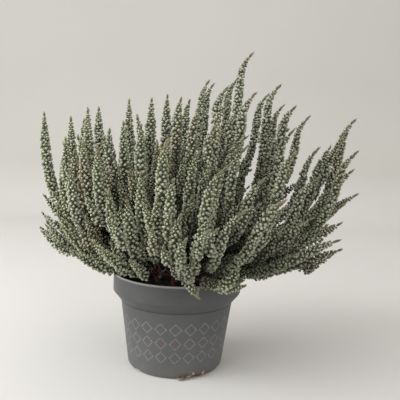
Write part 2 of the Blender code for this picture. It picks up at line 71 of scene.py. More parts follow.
# Wood: one stem up the middle and a ring of stems round it
RING_STEMS = 6
RING_STEM_RADIUS = 21.0
TRUNK_RADIUS = 2.1
TRUNK_HEIGHT = 14.0
TRUNK_LEAN = 0.45
TWIG_RADIUS = 1.05
TWIG_FIRST = 1.2
TWIG_STEP = 1.9
TWIG_ELBOW = 0.55
TWIG_SAG = 5.0

# Foliage layout: sprays round the crown on a golden-angle spiral, low ones over the rim
SPRAYS_PER_STEM = 6
SPRAYS = SPRAYS_PER_STEM * (RING_STEMS + 1)
SIDE_SHOOTS = 3
SHELL = 44.0
CROWN = np.array([0.0, 0.0, 85.0])
LOWEST_TIP = math.radians(14.0)
LOWEST_FRONT = math.radians(21.0)
LOWEST_BASE = math.radians(21.0)
BASE_DROP = 0.85
GOLDEN_ANGLE = math.pi * (3.0 - math.sqrt(5.0))
AIM_JITTER = 0.06
REACH = 196.0
REACH_POWER = 0.24
LEAN_RIGHT = 0.30
LEAN_LEFT = 0.11
LEADER_SHARE = (0.93, 1.0)
SIDE_SHARE = (0.70, 0.97)
SIDE_SPREAD = math.tan(math.radians(9.0))
SPREAD_SHARE = (0.8, 1.25)
OFF_AIM = (1.0, -0.7)
TIP_SPACING = 0.135
SPREAD_ROUNDS = 120
FAR = 10.0
GROUP_ROUNDS = 8
LEAST_GAIN = 1e-9
SEED = 13

# Shape of a shoot's path: out from its foot, up, and blown over to +X at the tip
OUTWARD = 0.75
UPTURN = 0.5
LIFT = 0.2
WIND = 0.03
RISE_FROM = 0.42
RISE_SPAN = 0.30
SIDE_UPRIGHT = 0.9
NEAR_UPRIGHT = 0.6
TIP_BLOW = 11.0
BLOW_FROM = (-20.0, 105.0)
BLOW_SPAN = (70.0, 50.0)
BLOW_RISE = 0.2
BLOW_LENGTH = 20.0
START_PULL = 0.34
END_PULL = 0.82
SIDE_STARTS = (0.06, 0.13, 0.19)
SIDE_ANGLE = math.radians(38.0)
PATH_POINTS = 33
FINE_POINTS = 121

# Thickness of a shoot with its leaves
STEM_RADIUS = 1.0
LEAFY_RADIUS = 5.4
LEAFY_TAPER = 75.0
TAPER_POWER = 0.45
TIP_RADIUS = 0.9
LEAFY_FROM = 9.0
LEAFY_FROM_SHARE = 0.12
LEAFY_RISE = 14.0
LEAFY_RISE_SHARE = 0.2

# Bending shoots clear of one another, the soil and the pot
FORK_POINTS = 12
CLEARANCE = 0.7
THIN_ROOM = 2.0
NEAR = 3.0 * LEAFY_RADIUS
SOIL_ROOM = 1.8
LIP_ROOM = 0.6
LIP_INSIDE = 9.0
LIP_OUTSIDE = 3.0
RIM_ROOM = 1.2
BEND_ROUNDS = 320
BEND_REFRESH = 80
BEND_STEP = 0.6
BEND_FADE = 6

# Way that a path's side vectors start from, and ends of tubes as shares of their radius
SIDE_START = (0.31, 0.87, 0.38)
FOOT_END = 0.5
TIP_END = 2.0

# Tips that can be told apart from the front, (x, y, z) in millimetres
SEEN_TIPS = (
    # skyline, left of the middle
    (-135, -10, 250), (-106, -45, 225), (-116, 20, 249), (-108, 50, 249), (-91, -20, 255),
    (-90, 35, 261), (-66, -50, 235), (-53, -55, 242), (-59, 45, 272), (-36, -70, 239),
    (-30, -30, 266), (-18, 55, 279), (-2, -45, 266), (7, 30, 272), (-118, -30, 163),
    (-141, 0, 135), (-114, -25, 206), (-125, 25, 190), (-96, -55, 214), (-97, -65, 198),
    (-87, -60, 223), (-72, -75, 215),
    # skyline, right of the middle
    (15, -60, 256), (26, 20, 292), (34, 65, 295), (42, -30, 280), (60, 45, 300), (68, 0, 318),
    (65, -55, 272), (96, 60, 286), (95, -10, 286), (111, 45, 273), (108, -25, 265),
    (132, 15, 259), (102, -55, 242), (176, 0, 257), (168, -35, 224), (188, 30, 205),
    (160, -30, 172), (187, 10, 180), (139, -15, 114), (132, -30, 226), (166, 40, 216),
    (154, -30, 189), (169, 25, 144), (116, -40, 126), (170, 50, 201),
    # near side, standing free of the shoots behind
    (-32, -105, 199), (-18, -115, 183), (-5, -120, 196), (-59, -95, 184), (-42, -108, 176),
    (55, -90, 224), (37, -110, 207), (69, -100, 198), (89, -105, 177), (15, -95, 218),
    (26, -130, 171), (122, -65, 198),
    # low ones that hang over the rim
    (18, -88, 97), (53, -74, 98), (39, -82, 102), (62, -58, 101), (-40, -66, 105),
    (-17, -74, 107), (-86, -20, 101), (53, -88, 132),
)

# Buds: whorls up a shoot, wide apart low down and close at the tip
LEAST_BUDS = 3
BUD_PITCH = 2.8
TIP_PITCH = 1.5
PITCH_RANGE = (0.92, 1.08)
FLUFF_RADIUS = 6.0
FLUFF_TAPER = (24.0, 40.0)
TAPER_SHARE = 0.55
FOOT_PITCH = 1.0
LEAST_SWELL = 0.35
CLOSE_SHARE = 0.16
BARE_MORE = (0.0, 7.0)
FLUFF_POWER = 0.85
BUD_RADIUS = 1.56
BUD_LEAST = 0.44
WIDTH_POWER = 0.9
WIDTH_RANGE = (0.82, 1.16)
BUD_LONGEST = 6.0
BUD_SHORTEST = 2.1
LENGTH_RANGE = (0.84, 1.08)
BUD_TILT = math.radians(66.0)
TIP_TILT = math.radians(40.0)
TILT_POWER = 0.8
TILT_JITTER = 0.12
TURN_JITTER = 0.13
SLIDE_JITTER = 0.16
LOOSE_LEAST = 0.35
LOOSE_MORE = 0.65
ROOT_SHARE = 0.5
ROUGHER = 3.5
FINE_SHAPE = (4, ((0.0, 0.0), (0.52, 0.86), (0.84, 0.92), (1.0, 0.0)))
PLAIN_SHAPE = (3, ((0.0, 0.0), (0.70, 1.08), (1.0, 0.0)))
POINTED_SHAPE = (4, ((0.0, 0.0), (0.40, 1.0), (1.0, 0.0)))
DEEP_MIDDLE = np.array([8.0, 0.0, 145.0])
DEEP_SIZE = np.array([94.0, 94.0, 82.0])
MORE_FROM = np.array([2.3, 3.7, 4.9])
# Hollows above the lip, where the buds are left out and the bare cores get painted shade
HOLLOWS = (((-24.0, -48.0, 110.0), (24.0, 30.0, 20.0)), ((14.0, -46.0, 108.0), (10.0, 26.0, 20.0)))
HOLLOW_SHADE = 0.75
TWIST = 0.006
CORE_SHARE = 0.22
CORE_LEAST = 0.50
CORE_SIDES = 4
CORE_STEP = 6.0
CORE_RINGS = 6
CORE_TONE = 0.22
TIP_TONE = 0.50
CORE_TINT = 0.4
FOOT_BROWN = 1.4
FOOT_BROWN_SPAN = 2.2 * LEAFY_FROM
TIP_GREEN = 1.5
CLOSE_TIP = (5.5, 8.5)
BLOWN_TIP = (2.0, 6.0)
CLOSE_RADIUS = (0.35, 1.9)
CLOSE_WIDTHS = (0.70, 1.10)
CLOSE_TILT = math.radians(15.0)
CLOSE_BROWN = 0.20
CLOSE_DARK = 0.20
CLOSE_END = 2.0
TIP_CORE = (0.40, 1.0)

# Side shoots: some run up beside a shoot, and short ones grow up from near its foot
COMPANIONS = (2, 4)
COMPANION_TOPS = (0.14, 0.50)
ALONE_FROM = 0.4
FEWER_ALONE = 2
BLOWN_SLIM = 0.16
COMPANION_LENGTHS = (26.0, 46.0)
COMPANION_GAPS = (6.0, 10.5)
COMPANION_MOST = 0.8
COMPANION_SPLAY = 0.35
COMPANION_RISE = 0.3
COMPANION_SIZE = 0.74
UNDERSIDE = -0.2
AHEAD = 3.0
BASALS = 1
BASAL_PLACES = (0.04, 0.30)
BASAL_LENGTHS = (18.0, 32.0)
BASAL_SPLAY = 0.9
BASAL_LIFT = 0.7
BASAL_RISE = 0.8
BASAL_SIZE = 0.80
INNERS = 3
INNER_PLACES = (0.0, 0.06)
INNER_SPLAY = 2.2
RISER_PLACES = (0.28, 0.62)
RISER_LENGTHS = (30.0, 50.0)
RISER_SPLAY = 0.85
RISER_TURN = 1.1
RISER_OUT = 0.35
RISER_UP = 0.25
RISER_RISE = 0.6
RISER_SIZE = 0.84
RISER_LEAST_Z = 125.0
CLEAR_ROUNDS = 3
OPENINGS = ((-72.0, -14.0), (4.0, 22.0))
OPEN_Y = -25.0
OPEN_Z = 128.0

# Plump sprigs over the rim at the front: foot, elbow and tip of each
RIM_SPRIGS = (
    ((3.0, -50.0, 114.0), (7.5, -78.0, 105.0), (20.0, -84.0, 90.0)),
    ((34.0, -50.0, 98.0), (43.0, -81.0, 103.0), (53.0, -90.0, 127.0)),
    ((30.0, -48.0, 98.0), (42.0, -73.0, 97.0), (62.0, -70.0, 100.0)),
)
RIM_SIZE = 1.05
RIM_LIGHT = 0.34
RIM_FRESH = 0.1

# Side shoots that fill the loose bunch at the right: foot, middle and tip of each
BUNCH_SHOOTS = (
    ((126.0, 2.0, 150.0), (135.0, -2.0, 191.0), (150.0, -4.0, 228.0)),
    ((139.0, 1.0, 172.0), (149.0, -1.0, 209.0), (165.0, -3.0, 243.0)),
)
BUNCH_SIZE = 0.9
BUNCH_LIGHT = 0.08
BUNCH_FRESH = 0.3

# Colour: pale young tips, painted shade deep in the bush, low down, on the right and in places above the
# lip, painted light on the left, patches of faded buds and fresher green low down
YOUNG_LENGTH = 22.0
YOUNG_LIGHT = 0.24
# Painted shade deep in the bush, near the crown
DEEP_FROM = 114.0
DEEP_SPAN = 50.0
DEEP_SHADE = 0.85
# Painted shade on the right side of the bush, and painted light on its left side
SIDE_SHADE_FROM = 5.0
SIDE_SHADE_SPAN = 85.0
SIDE_SHADE_RANGE = (-0.6, 1.0)
SIDE_SHADE = 0.20
# Painted shade low down, more towards the right; OVER_RIM is the height, radius and fade past which buds
# over the rim take no deep or low shade
LOW_FROM = -60.0
LOW_HEIGHT = 155.0
LOW_DROP = 45.0
LOW_SHADE = 0.42
OVER_RIM = (112.0, 62.0, 10.0)
# Painted shade in places above the lip: the middle and size of each
SHADED_PLACES = (((-38.0, -66.0, 125.0), (15.0, 30.0, 11.0)), ((14.5, -66.0, 126.0), (8.0, 30.0, 11.0)),
               ((48.0, -62.0, 133.0), (13.0, 30.0, 15.0)))
PLACE_SHADE = 0.6
TINT_RANGE = (0.16, 0.72)
SHOOT_TINT = 0.10
PATCH_SCALE = 0.028
BROWN_FROM = 0.28
BROWN_SLOPE = 2.2
BROWN_MOST = 0.20
FADED = 0.28
FADED_SHARE = 0.03
LOW_FRESH = 170.0
LOW_FRESH_SPAN = 60.0
LOW_FRESH_MORE = 0.6
FRESH_TO = 0.3
FRESH_RANGE = (0.0, 0.3)
TIP_FRESH = 0.55
BROWN_JITTER = 0.08
# Bud colour from neck to tip: near black at the necks, which is painted shade between the buds, and pale at
# the tips, partly their own colour and partly a painted highlight
BUD_PLACES = (0.0, 0.45, 0.80, 1.0)
GREEN_BUD = ((0.030, 0.035, 0.018), (0.133, 0.150, 0.088), (0.300, 0.325, 0.232), (0.47, 0.492, 0.405))
FADED_BUD = ((0.07, 0.032, 0.02), (0.20, 0.115, 0.075), (0.34, 0.24, 0.175), (0.50, 0.41, 0.32))
FRESH_BUD = ((0.028, 0.042, 0.015), (0.120, 0.150, 0.066), (0.265, 0.305, 0.165), (0.43, 0.47, 0.30))
TINT_LIGHT = (-0.6, 1.0, 0.14, 1.36)

# Surfaces. A grain is a noise's scale, detail and roughness, as far as it differs from the usual
NOISE_ENDS = (0.3, 0.7)
BUD_MOTTLE = (0.86, 1.12, 900.0)
BUD_BUMP = ((2600.0, 3.0), 0.35, 0.0002)
BUD_SHEEN = 0.12
POT_CLOUD = (28.0, 4.0, 0.6)
POT_GRAIN = (0.93, 1.07, 1600.0)
POT_BUMP = ((2200.0, 2.0), 0.12, 0.0002)
INK_GRAIN = (900.0, 3.0, 0.6)
SMUDGE_GRAIN = (75.0, 5.0, 0.7)
PAINT_GRAIN = (3.0, 2.0)

# Roughness: its two ends and its grain
BUD_ROUGHNESS = (0.60, 0.82, 700.0)
BARK_ROUGHNESS = (0.7, 0.92, 300.0)
PEAT_ROUGHNESS = (0.8, 1.0, 400.0)
POT_ROUGHNESS = (0.42, 0.58, 60.0, 4.0, 0.6)

# Bark, peat and dry roots: grain and its colour stops, then the bump's grain, strength and distance
BARK = ((420.0, 4.0, 0.65),
        ((0.25, (0.04, 0.018, 0.011)), (0.5, (0.13, 0.060, 0.037)), (0.8, (0.26, 0.14, 0.09))),
        (900.0, 4.0, 0.7), 0.8, 0.0006)
PEAT = ((520.0, 5.0, 0.7),
        ((0.30, (0.005, 0.004, 0.003)), (0.55, (0.020, 0.014, 0.010)),
         (0.75, (0.055, 0.036, 0.024)), (0.90, (0.14, 0.095, 0.06))),
        (1300.0, 5.0, 0.7), 1.0, 0.0010)
DRY_ROOT = ((260.0, 4.0, 0.6),
            ((0.35, (0.05, 0.032, 0.022)), (0.5, (0.20, 0.145, 0.105)), (0.7, (0.43, 0.36, 0.28))),
            (1500.0, 3.0), 0.6, 0.0004)

# Surface of the wood
TRUNK_RINGS = 14
TRUNK_SIDES = 10
TRUNK_SWELL = ((0.0, 0.45, 0.55, 1.0), (0.95, 1.1, 1.0, 0.75))
TWIG_RINGS = 5
TWIG_SIDES = 8
TWIG_SUNK = 2.0
TWIG_THINS = (1.3, 0.95)
BARK_ROUGH = 0.06
WOOD_STEP = 2.0

# Pot surface
POT_STEPS = 144
POT_SHARP = 40.0
MERGE_DISTANCE = 1e-6
EASE = 0.7
EASE_STEPS = 3
EASE_SHARE = 0.45
DRAIN_SIDES = 28

# Faint printed lozenges round the pot, some with a plum heart, lengths in metres
LOZENGES = 24
LOZENGE_HEIGHT = 0.0142
PRINT_FOOT = 0.0150
PRINT_ROWS = 3.0
LOZENGE_EDGE = (0.40, 0.035)
LOZENGE_HEART = 0.13
PRINT_STRENGTH = 0.40
HEART_STRENGTH = 0.55
INK_ENDS = (0.35, 0.6)
INK_LEAST = 0.2
PALE_INK = (0.42, 0.46, 0.46, 1.0)
PLUM_INK = (0.20, 0.035, 0.075, 1.0)

# Pot colour: stops, heights in metres with the factors at their ends (darker towards the top, a painted
# highlight along the lip, the dusty foot), the dust and its smudges
PLASTIC = ((0.3, (0.077, 0.080, 0.081)), (0.7, (0.095, 0.098, 0.099)))
DARKER_TOWARDS_TOP = (0.0, 0.09, 1.12, 0.68)
LIP_HIGHLIGHT = (0.0926, 0.0942, 1.0, 4.8)
DUSTY_FOOT = (0.0, 0.022, 1.0, 0.0)
SMUDGES = (0.45, 0.75, 0.0, 0.5)
DUST = (0.17, 0.15, 0.125, 1.0)
# A painted shadow line just under the rim band: its height and half width in metres, and its factor
BAND_SHADOW_LINE = (0.0667, 0.0007)
BAND_SHADOW_DARK = 0.55

# Soil surface
SOIL_RINGS = 34
SOIL_STEPS = 96
SOIL_BUMPS = ((0.055, 1.6), (0.35, 0.9), (0.9, 0.4))
EDGE_DROP = 1.6
EDGE_FROM = 0.9
EDGE_SPAN = 0.1
CRUMBS = 260
CRUMB_SIZES = (0.5, 1.9)
CRUMB_REACH = 0.97
CRUMB_SEAT = 0.2
LUMP_SPANS = ((0.7, 1.2), (0.6, 1.0), (0.5, 0.9))
DENT_SHIFT = 50.0
DENT_DEPTH = 0.35
DENT_SCALE = 1.6

# Dry roots at the front drain notch: ranges of distance out from the foot, across and up
THREADS = 16
THREAD_ACROSS = (-13.0, -1.0)
THREAD_SUNK = 4.0
THREAD_START_Z = (0.9, 2.4)
THREAD_BENDS = (((3.6, 5.2), (-3.0, 3.0), (1.2, 3.8)), ((4.0, 6.2), (-7.0, 5.0), (0.5, 3.4)))
THREAD_POINTS = 12
THREAD_LEAST_Z = 0.45
THREAD_RADII = (0.5, 0.25)
THREAD_RANGE = (0.7, 1.2)
THREAD_SIDES = 6
CHIPS = 12
CHIP_SIZES = (1.1, 2.6)
GRAINS = 14
GRAIN_SIZES = (0.35, 0.9)
CHIP_OUT = (3.2, 4.4)
CHIP_ACROSS = (-2.0, 11.0)
CHIP_Z = (3.2, 5.4)

# Backdrop, and each light's name, place, target, size, power and colour, in metres and watts
FLOOR_PAINT = ((0.3, (0.675, 0.675, 0.67)), (0.7, (0.695, 0.695, 0.69)))
WALL_PAINT = ((0.3, (0.545, 0.55, 0.525)), (0.7, (0.56, 0.565, 0.54)))
WALL_FROM = (0.0, 0.16, 0.0, 1.0)
STAGE_FRONT = -2.5
STAGE_BACK = 1.5
STAGE_SIDE = 3.0
STAGE_HEIGHT = 2.6
STAGE_BEND = 0.5
STAGE_STEPS = 16
LIGHTS = (
    ("window", (-1.5, -0.8, 1.05), (0.0, 0.0, 0.15), 1.9, 25.5, (1.0, 0.995, 0.98)),
    ("side", (-0.9, -0.15, 0.45), (-0.05, 0.0, 0.17), 0.6, 3.6, (1.0, 0.995, 0.98)),
    ("fill", (1.4, -1.3, 0.8), (0.0, 0.0, 0.12), 1.4, 5.5, (0.98, 0.98, 0.98)),
)
SURROUND_COLOUR = (0.99, 0.94, 0.885, 1.0)
SURROUND_STRENGTH = 0.84

# Camera: a focal length of 500 picture elements in a picture 400 wide
CAMERA_PLACE = Vector((0.0, -0.507, 0.216))
CAMERA_PITCH = math.radians(-5.37)
CAMERA_YAW = math.radians(2.27)
CAMERA_ROLL = math.radians(2.25)
CAMERA_LENS = 45.0
CAMERA_SENSOR = 36.0


def unit(vector):
    return vector / np.linalg.norm(vector)


def direction(azimuth, elevation):
    flat = math.cos(elevation)
    return np.array([flat * math.cos(azimuth), flat * math.sin(azimuth), math.sin(elevation)])


def lowest(azimuth):
    """The least elevation of a tip: a little higher at the front, where the soil shows."""
    front = max(0.0, -math.sin(azimuth))
    return LOWEST_TIP + (LOWEST_FRONT - LOWEST_TIP) * front


def reach(azimuth, elevation):
    """How far tips stand from the crown: a flattened dome that leans to +X."""
    lean = LEAN_RIGHT if math.cos(azimuth) > 0 else LEAN_LEFT
    return (REACH * math.sin(elevation) ** REACH_POWER
            * (1.0 + lean * math.cos(azimuth) * math.cos(elevation)))


def tip_heading(tip):
    """The way a shoot points near its tip. High ones turn up and lean a little to +X."""
    out = unit(tip - CROWN)
    lift = UPTURN * max(0.0, out[2])
    rise = float(np.clip((out[2] - RISE_FROM) / RISE_SPAN, 0.0, 1.0))
    upright = np.array([1.0 - SIDE_UPRIGHT * rise, 1.0 - NEAR_UPRIGHT * rise, 1.0])
    blown = np.array([WIND * rise, 0.0, LIFT * rise + lift])
    return unit(OUTWARD * (1.0 - lift) * upright * out + blown)


def steps_of(path):
    """Lengths of a path's steps."""
    return np.linalg.norm(np.diff(path, axis=0), axis=1)


def path_length(path):
    return steps_of(path).sum()


def distances(path):
    """How far along a path each of its points lies."""
    return np.concatenate([[0.0], np.cumsum(steps_of(path))])


def exposed(tip):
    """How far a tip stands out in the wind from the left, from 0 to 1."""
    return np.clip((tip[[0, 2]] - BLOW_FROM) / BLOW_SPAN, 0.0, 1.0).prod()


def curve(start, start_way, end, end_way):
    """A smooth path of PATH_POINTS even steps whose last stretch is blown over to +X."""
    blow = TIP_BLOW * exposed(end) * np.array([1.0, 0.0, BLOW_RISE])
    span = np.linalg.norm(end - start)
    t = np.linspace(0.0, 1.0, FINE_POINTS)[:, None]
    a, b, d = start, start + start_way * START_PULL * span, end - blow
    c = d - end_way * END_PULL * span
    path = (1 - t) ** 3 * a + 3 * (1 - t) ** 2 * t * b + 3 * (1 - t) * t**2 * c + t**3 * d
    left = steps_of(path)[::-1].cumsum()[::-1]
    share = np.clip(1.0 - np.append(left, 0.0) / BLOW_LENGTH, 0.0, 1.0)
    path = path + share[:, None] ** 2 * blow
    return at_lengths(path, np.linspace(0.0, path_length(path), PATH_POINTS))


def spray_aims(draw):
    """(azimuth, elevation) of each spray, from straight up to just over the rim."""
    aims = []
    for i in range(SPRAYS):
        azimuth = i * GOLDEN_ANGLE % (2 * math.pi) + draw.uniform(-AIM_JITTER, AIM_JITTER)
        low = math.sin(lowest(azimuth))
        aims.append((azimuth, math.asin(1.0 - (i + 0.5) / SPRAYS * (1.0 - low))))
    return aims


def shoot_tips(draw, aims):
    """All tips, with the nearest ones moved onto the tips seen and the rest spread out."""
    tips = []
    for azimuth, elevation in aims:
        aim = direction(azimuth, elevation)
        side = unit(np.cross(aim, direction(azimuth + OFF_AIM[0], elevation + OFF_AIM[1])))
        across = np.cross(aim, side)
        turn = draw.uniform(0, 2 * math.pi)
        for k in range(1 + SIDE_SHOOTS):
            spread = SIDE_SPREAD * draw.uniform(*SPREAD_SHARE) if k else 0.0
            angle = turn + k * 2 * math.pi / SIDE_SHOOTS
            way = unit(aim + spread * (math.cos(angle) * side + math.sin(angle) * across))
            way[2] = max(way[2], math.sin(lowest(azimuth)))
            share = draw.uniform(*(SIDE_SHARE if k else LEADER_SHARE))
            length = share * reach(azimuth, math.asin(min(1.0, way[2])))
            tips.append(CROWN + unit(way) * length)
    tips = np.array(tips)
    free = np.ones(len(tips), bool)
    for target in np.array(SEEN_TIPS, float):
        gaps = np.where(free, np.linalg.norm(tips - target, axis=1), np.inf)
        nearest = int(gaps.argmin())
        tips[nearest] = target
        free[nearest] = False
    return spread_out(tips, free)


def spread_out(tips, free):
    """Turns free tips about the crown until no two lie too near the same direction."""
    lengths = np.linalg.norm(tips - CROWN, axis=1)[:, None]
    ways = (tips - CROWN) / lengths
    for _ in range(SPREAD_ROUNDS):
        apart = ways[:, None] - ways[None]
        gap = np.linalg.norm(apart, axis=2) + FAR * np.eye(len(ways))
        short = np.clip(TIP_SPACING - gap, 0.0, None) / gap
        ways = ways + 0.5 * free[:, None] * (short[:, :, None] * apart).sum(axis=1)
        azimuths = np.arctan2(ways[:, 1], ways[:, 0])
        low = np.sin([lowest(azimuth) for azimuth in azimuths])
        ways[:, 2] = np.where(free, np.maximum(ways[:, 2], low), ways[:, 2])
        ways /= np.linalg.norm(ways, axis=1)[:, None]
    return CROWN + ways * lengths


def by_spray(tips):
    """The tips shared out to sprays so that each spray's tips lie together as seen from the crown.

    The highest sprays come first, for the middle stem, then the rest in order round the plant.
    """
    ways = (tips - CROWN) / np.linalg.norm(tips - CROWN, axis=1)[:, None]
    group = np.repeat(np.arange(SPRAYS), 1 + SIDE_SHOOTS)
    every = np.arange(len(tips))
    for _ in range(GROUP_ROUNDS):
        centres = np.array([ways[group == g].mean(axis=0) for g in range(SPRAYS)])
        cost = ((ways[:, None] - centres[None]) ** 2).sum(axis=2)
        best = 1.0
        while best > LEAST_GAIN:
            other = cost[:, group]
            own = cost[every, group]
            gain = own[:, None] + own[None] - other - other.T
            a, b = np.unravel_index(gain.argmax(), gain.shape)
            best = gain[a, b]
            if best > LEAST_GAIN:
                group[a], group[b] = group[b], group[a]
    centres = np.array([ways[group == g].mean(axis=0) for g in range(SPRAYS)])
    high = np.argsort(-centres[:, 2])[:SPRAYS_PER_STEM]
    around = [g for g in np.argsort(np.arctan2(centres[:, 1], centres[:, 0])) if g not in high]
    return [tips[group == g] for g in [*high, *around]]


def path_radii(path):
    """Radius of a shoot's leafy surface at each point of its path, bare stem first."""
    along = distances(path)
    return leafy_radius(along, along[-1])


def leafy_from(length):
    """How far from its foot a shoot is bare."""
    return min(LEAFY_FROM, LEAFY_FROM_SHARE * length)


def leafy_radius(along, length):
    """A shoot's leafy radius: bare stem, a short swell, then a long taper to the tip."""
    rise = min(LEAFY_RISE, LEAFY_RISE_SHARE * length)
    swell = np.clip((along - leafy_from(length)) / rise, 0.0, 1.0)
    taper = np.clip((length - along) / min(LEAFY_TAPER, length), 0.0, 1.0) ** TAPER_POWER
    full = TIP_RADIUS + (LEAFY_RADIUS - TIP_RADIUS) * taper
    return STEM_RADIUS + (full - STEM_RADIUS) * swell


def close_pairs(points, sprays):
    """Index pairs of path points of different shoots that are near one another.

    Shoots of one spray are compared only past their fork.
    """
    shoots = np.repeat(np.arange(len(sprays)), PATH_POINTS)
    owner = np.repeat(sprays, PATH_POINTS)
    forked = np.tile(np.arange(PATH_POINTS) >= FORK_POINTS, len(sprays))
    firsts, seconds = [], []
    for shoot in range(len(sprays) - 1):
        mine = np.nonzero(shoots == shoot)[0]
        others = np.nonzero(shoots > shoot)[0]
        gap = np.linalg.norm(points[mine, None] - points[None, others], axis=2)
        apart = (owner[others] != sprays[shoot])[None] | (forked[mine][:, None] & forked[others][None])
        i, j = np.nonzero((gap < NEAR) & apart)
        firsts.append(mine[i])
        seconds.append(others[j])
    return np.concatenate(firsts), np.concatenate(seconds)


def bend_clear(paths, sprays, parents):
    """Bends shoots away from one another, and all of them off the pot and the soil.

    A side shoot's foot follows the point of the leader that it grows from.
    """
    radii = np.array([path_radii(path) for path in paths]).ravel()
    wide = np.maximum(radii, THIN_ROOM)
    rest = np.array(paths)
    moved = np.zeros_like(rest)
    for turn in range(BEND_ROUNDS):
        points = (rest + moved).reshape(-1, 3)
        if turn % BEND_REFRESH == 0:
            first, second = close_pairs(points, sprays)
            room = wide[first] + wide[second] + CLEARANCE
        apart = points[first] - points[second]
        distance = np.linalg.norm(apart, axis=1)
        push = apart / distance[:, None] * (0.5 * np.clip(room - distance, 0, None))[:, None]
        shift = off_the_pot(points, radii)
        for axis in range(3):
            shift[:, axis] += np.bincount(first, push[:, axis], len(points))
            shift[:, axis] -= np.bincount(second, push[:, axis], len(points))
        shift = shift.reshape(rest.shape)
        for _ in range(2):
            shift[:, 1:-1] = 0.25 * shift[:, :-2] + 0.5 * shift[:, 1:-1] + 0.25 * shift[:, 2:]
        moved += BEND_STEP * shift
        for i, (parent, index) in enumerate(parents):
            held = np.zeros(3) if parent is None else moved[parent, index]
            moved[i, :BEND_FADE] += np.linspace(1.0, 0.0, BEND_FADE)[:, None] * (held - moved[i, 0])
    return rest + moved


def off_the_pot(points, radii):
    """The shift that lifts points over the soil and the lip, or holds them outside the rim."""
    out = np.hypot(points[:, 0], points[:, 1])
    floor = np.where(out < RIM_RADIUS - LIP_INSIDE, SOIL_TOP_Z + SOIL_ROOM, POT_HEIGHT + LIP_ROOM)
    over = out < RIM_RADIUS + LIP_OUTSIDE
    lift = np.where(over, np.clip(floor + radii - points[:, 2], 0, None), 0.0)
    beside = ~over & (points[:, 2] < POT_HEIGHT + LIP_OUTSIDE)
    away = np.where(beside, np.clip(RIM_RADIUS + RIM_ROOM + radii - out, 0, None), 0.0)
    way = points[:, :2] / np.maximum(out, 1e-9)[:, None]
    return np.column_stack([way * away[:, None], lift])


def plan_foliage():
    """(paths, spray of each path, bases): every shoot's path and each spray's base and heading."""
    draw = random.Random(SEED)
    paths, sprays, parents, bases = [], [], [], []
    for s, tips in enumerate(by_spray(shoot_tips(draw, spray_aims(draw)))):
        middle = unit(np.mean([unit(tip - CROWN) for tip in tips], axis=0))
        middle[2] = max(BASE_DROP * middle[2], math.sin(LOWEST_BASE))
        heading = unit(middle)
        base = CROWN + heading * SHELL
        bases.append((base, heading))
        tips = sorted(tips, key=lambda tip: -unit(tip - CROWN).dot(heading))
        leader = len(paths)
        paths.append(curve(base, heading, tips[0], tip_heading(tips[0])))
        parents.append((None, 0))
        for share, tip in zip(SIDE_STARTS, tips[1:]):
            index = round(share * (PATH_POINTS - 1))
            start = paths[leader][index]
            along = unit(paths[leader][index + 1] - start)
            side = unit(tip - start)
            side = unit(side - side.dot(along) * along)
            way = math.cos(SIDE_ANGLE) * along + math.sin(SIDE_ANGLE) * side
            paths.append(curve(start, way, tip, tip_heading(tip)))
            parents.append((leader, index))
        sprays.extend([s] * (1 + SIDE_SHOOTS))
    return bend_clear(paths, np.array(sprays), parents), sprays, bases


def woody_stems(bases):
    """The path of each woody stem, the middle one first: straight in its hole, then leaning."""
    stems = []
    for stem in range(RING_STEMS + 1):
        mine = bases[stem * SPRAYS_PER_STEM:(stem + 1) * SPRAYS_PER_STEM]
        middle = np.mean([base for base, _ in mine], axis=0)
        out = unit(np.array([middle[0], middle[1], 0.0])) if stem else np.zeros(3)
        foot = out * RING_STEM_RADIUS + (SOIL_TOP_Z - HOLE_DEPTH + SEAT_GAP) * UP
        knee = foot + HOLE_DEPTH * UP
        head = knee + TRUNK_HEIGHT * UP + out * TRUNK_HEIGHT * TRUNK_LEAN
        stems.append(np.array([foot, knee, head]))
    return stems


def frames(path):
    """Two side vectors at each point of a path, carried along it without twist."""
    ways = np.gradient(path, axis=0)
    ways /= np.linalg.norm(ways, axis=1)[:, None]
    side = unit(np.cross(ways[0], SIDE_START))
    sides = []
    for way in ways:
        side = unit(side - side.dot(way) * way)
        sides.append(side)
    sides = np.array(sides)
    return sides, np.cross(ways, sides)


def at_lengths(path, lengths):
    """Points of a path at the given distances along it."""
    along = distances(path)
    return np.column_stack([np.interp(lengths, along, path[:, axis]) for axis in range(3)])


def arc(centre, radius, start, end, steps):
    """Points of a profile's arc, with angles in degrees from +radius towards +Z."""
    angles = [math.radians(start + (end - start) * i / steps) for i in range(steps + 1)]
    return [(centre[0] + radius * math.cos(a), centre[1] + radius * math.sin(a)) for a in angles]


def mesh_object(name, points, faces, values=None):
    """A smooth mesh object from points in millimetres, triangles and values at points."""
    mesh = bpy.data.meshes.new(name)
    mesh.vertices.add(len(points))
    mesh.vertices.foreach_set("co", (np.asarray(points) * MM).astype(np.float32).ravel())
    mesh.loops.add(3 * len(faces))
    mesh.loops.foreach_set("vertex_index", np.asarray(faces, np.int32).ravel())
    mesh.polygons.add(len(faces))
    mesh.polygons.foreach_set("loop_start", np.arange(0, 3 * len(faces), 3, dtype=np.int32))
    mesh.update(calc_edges=True)
    for key, value in (values or {}).items():
        layer = mesh.attributes.new(key, "FLOAT", "POINT")
        layer.data.foreach_set("value", np.asarray(value, np.float32).ravel())
    return smooth_object(name, mesh)


def smooth_object(name, mesh, sharp=None):
    """A smooth-shaded object of a mesh, whose edges past an angle in degrees stay sharp."""
    mesh.shade_smooth()
    if sharp is not None:
        mesh.set_sharp_from_angle(angle=math.radians(sharp))
    obj = bpy.data.objects.new(name, mesh)
    bpy.context.scene.collection.objects.link(obj)
    return obj


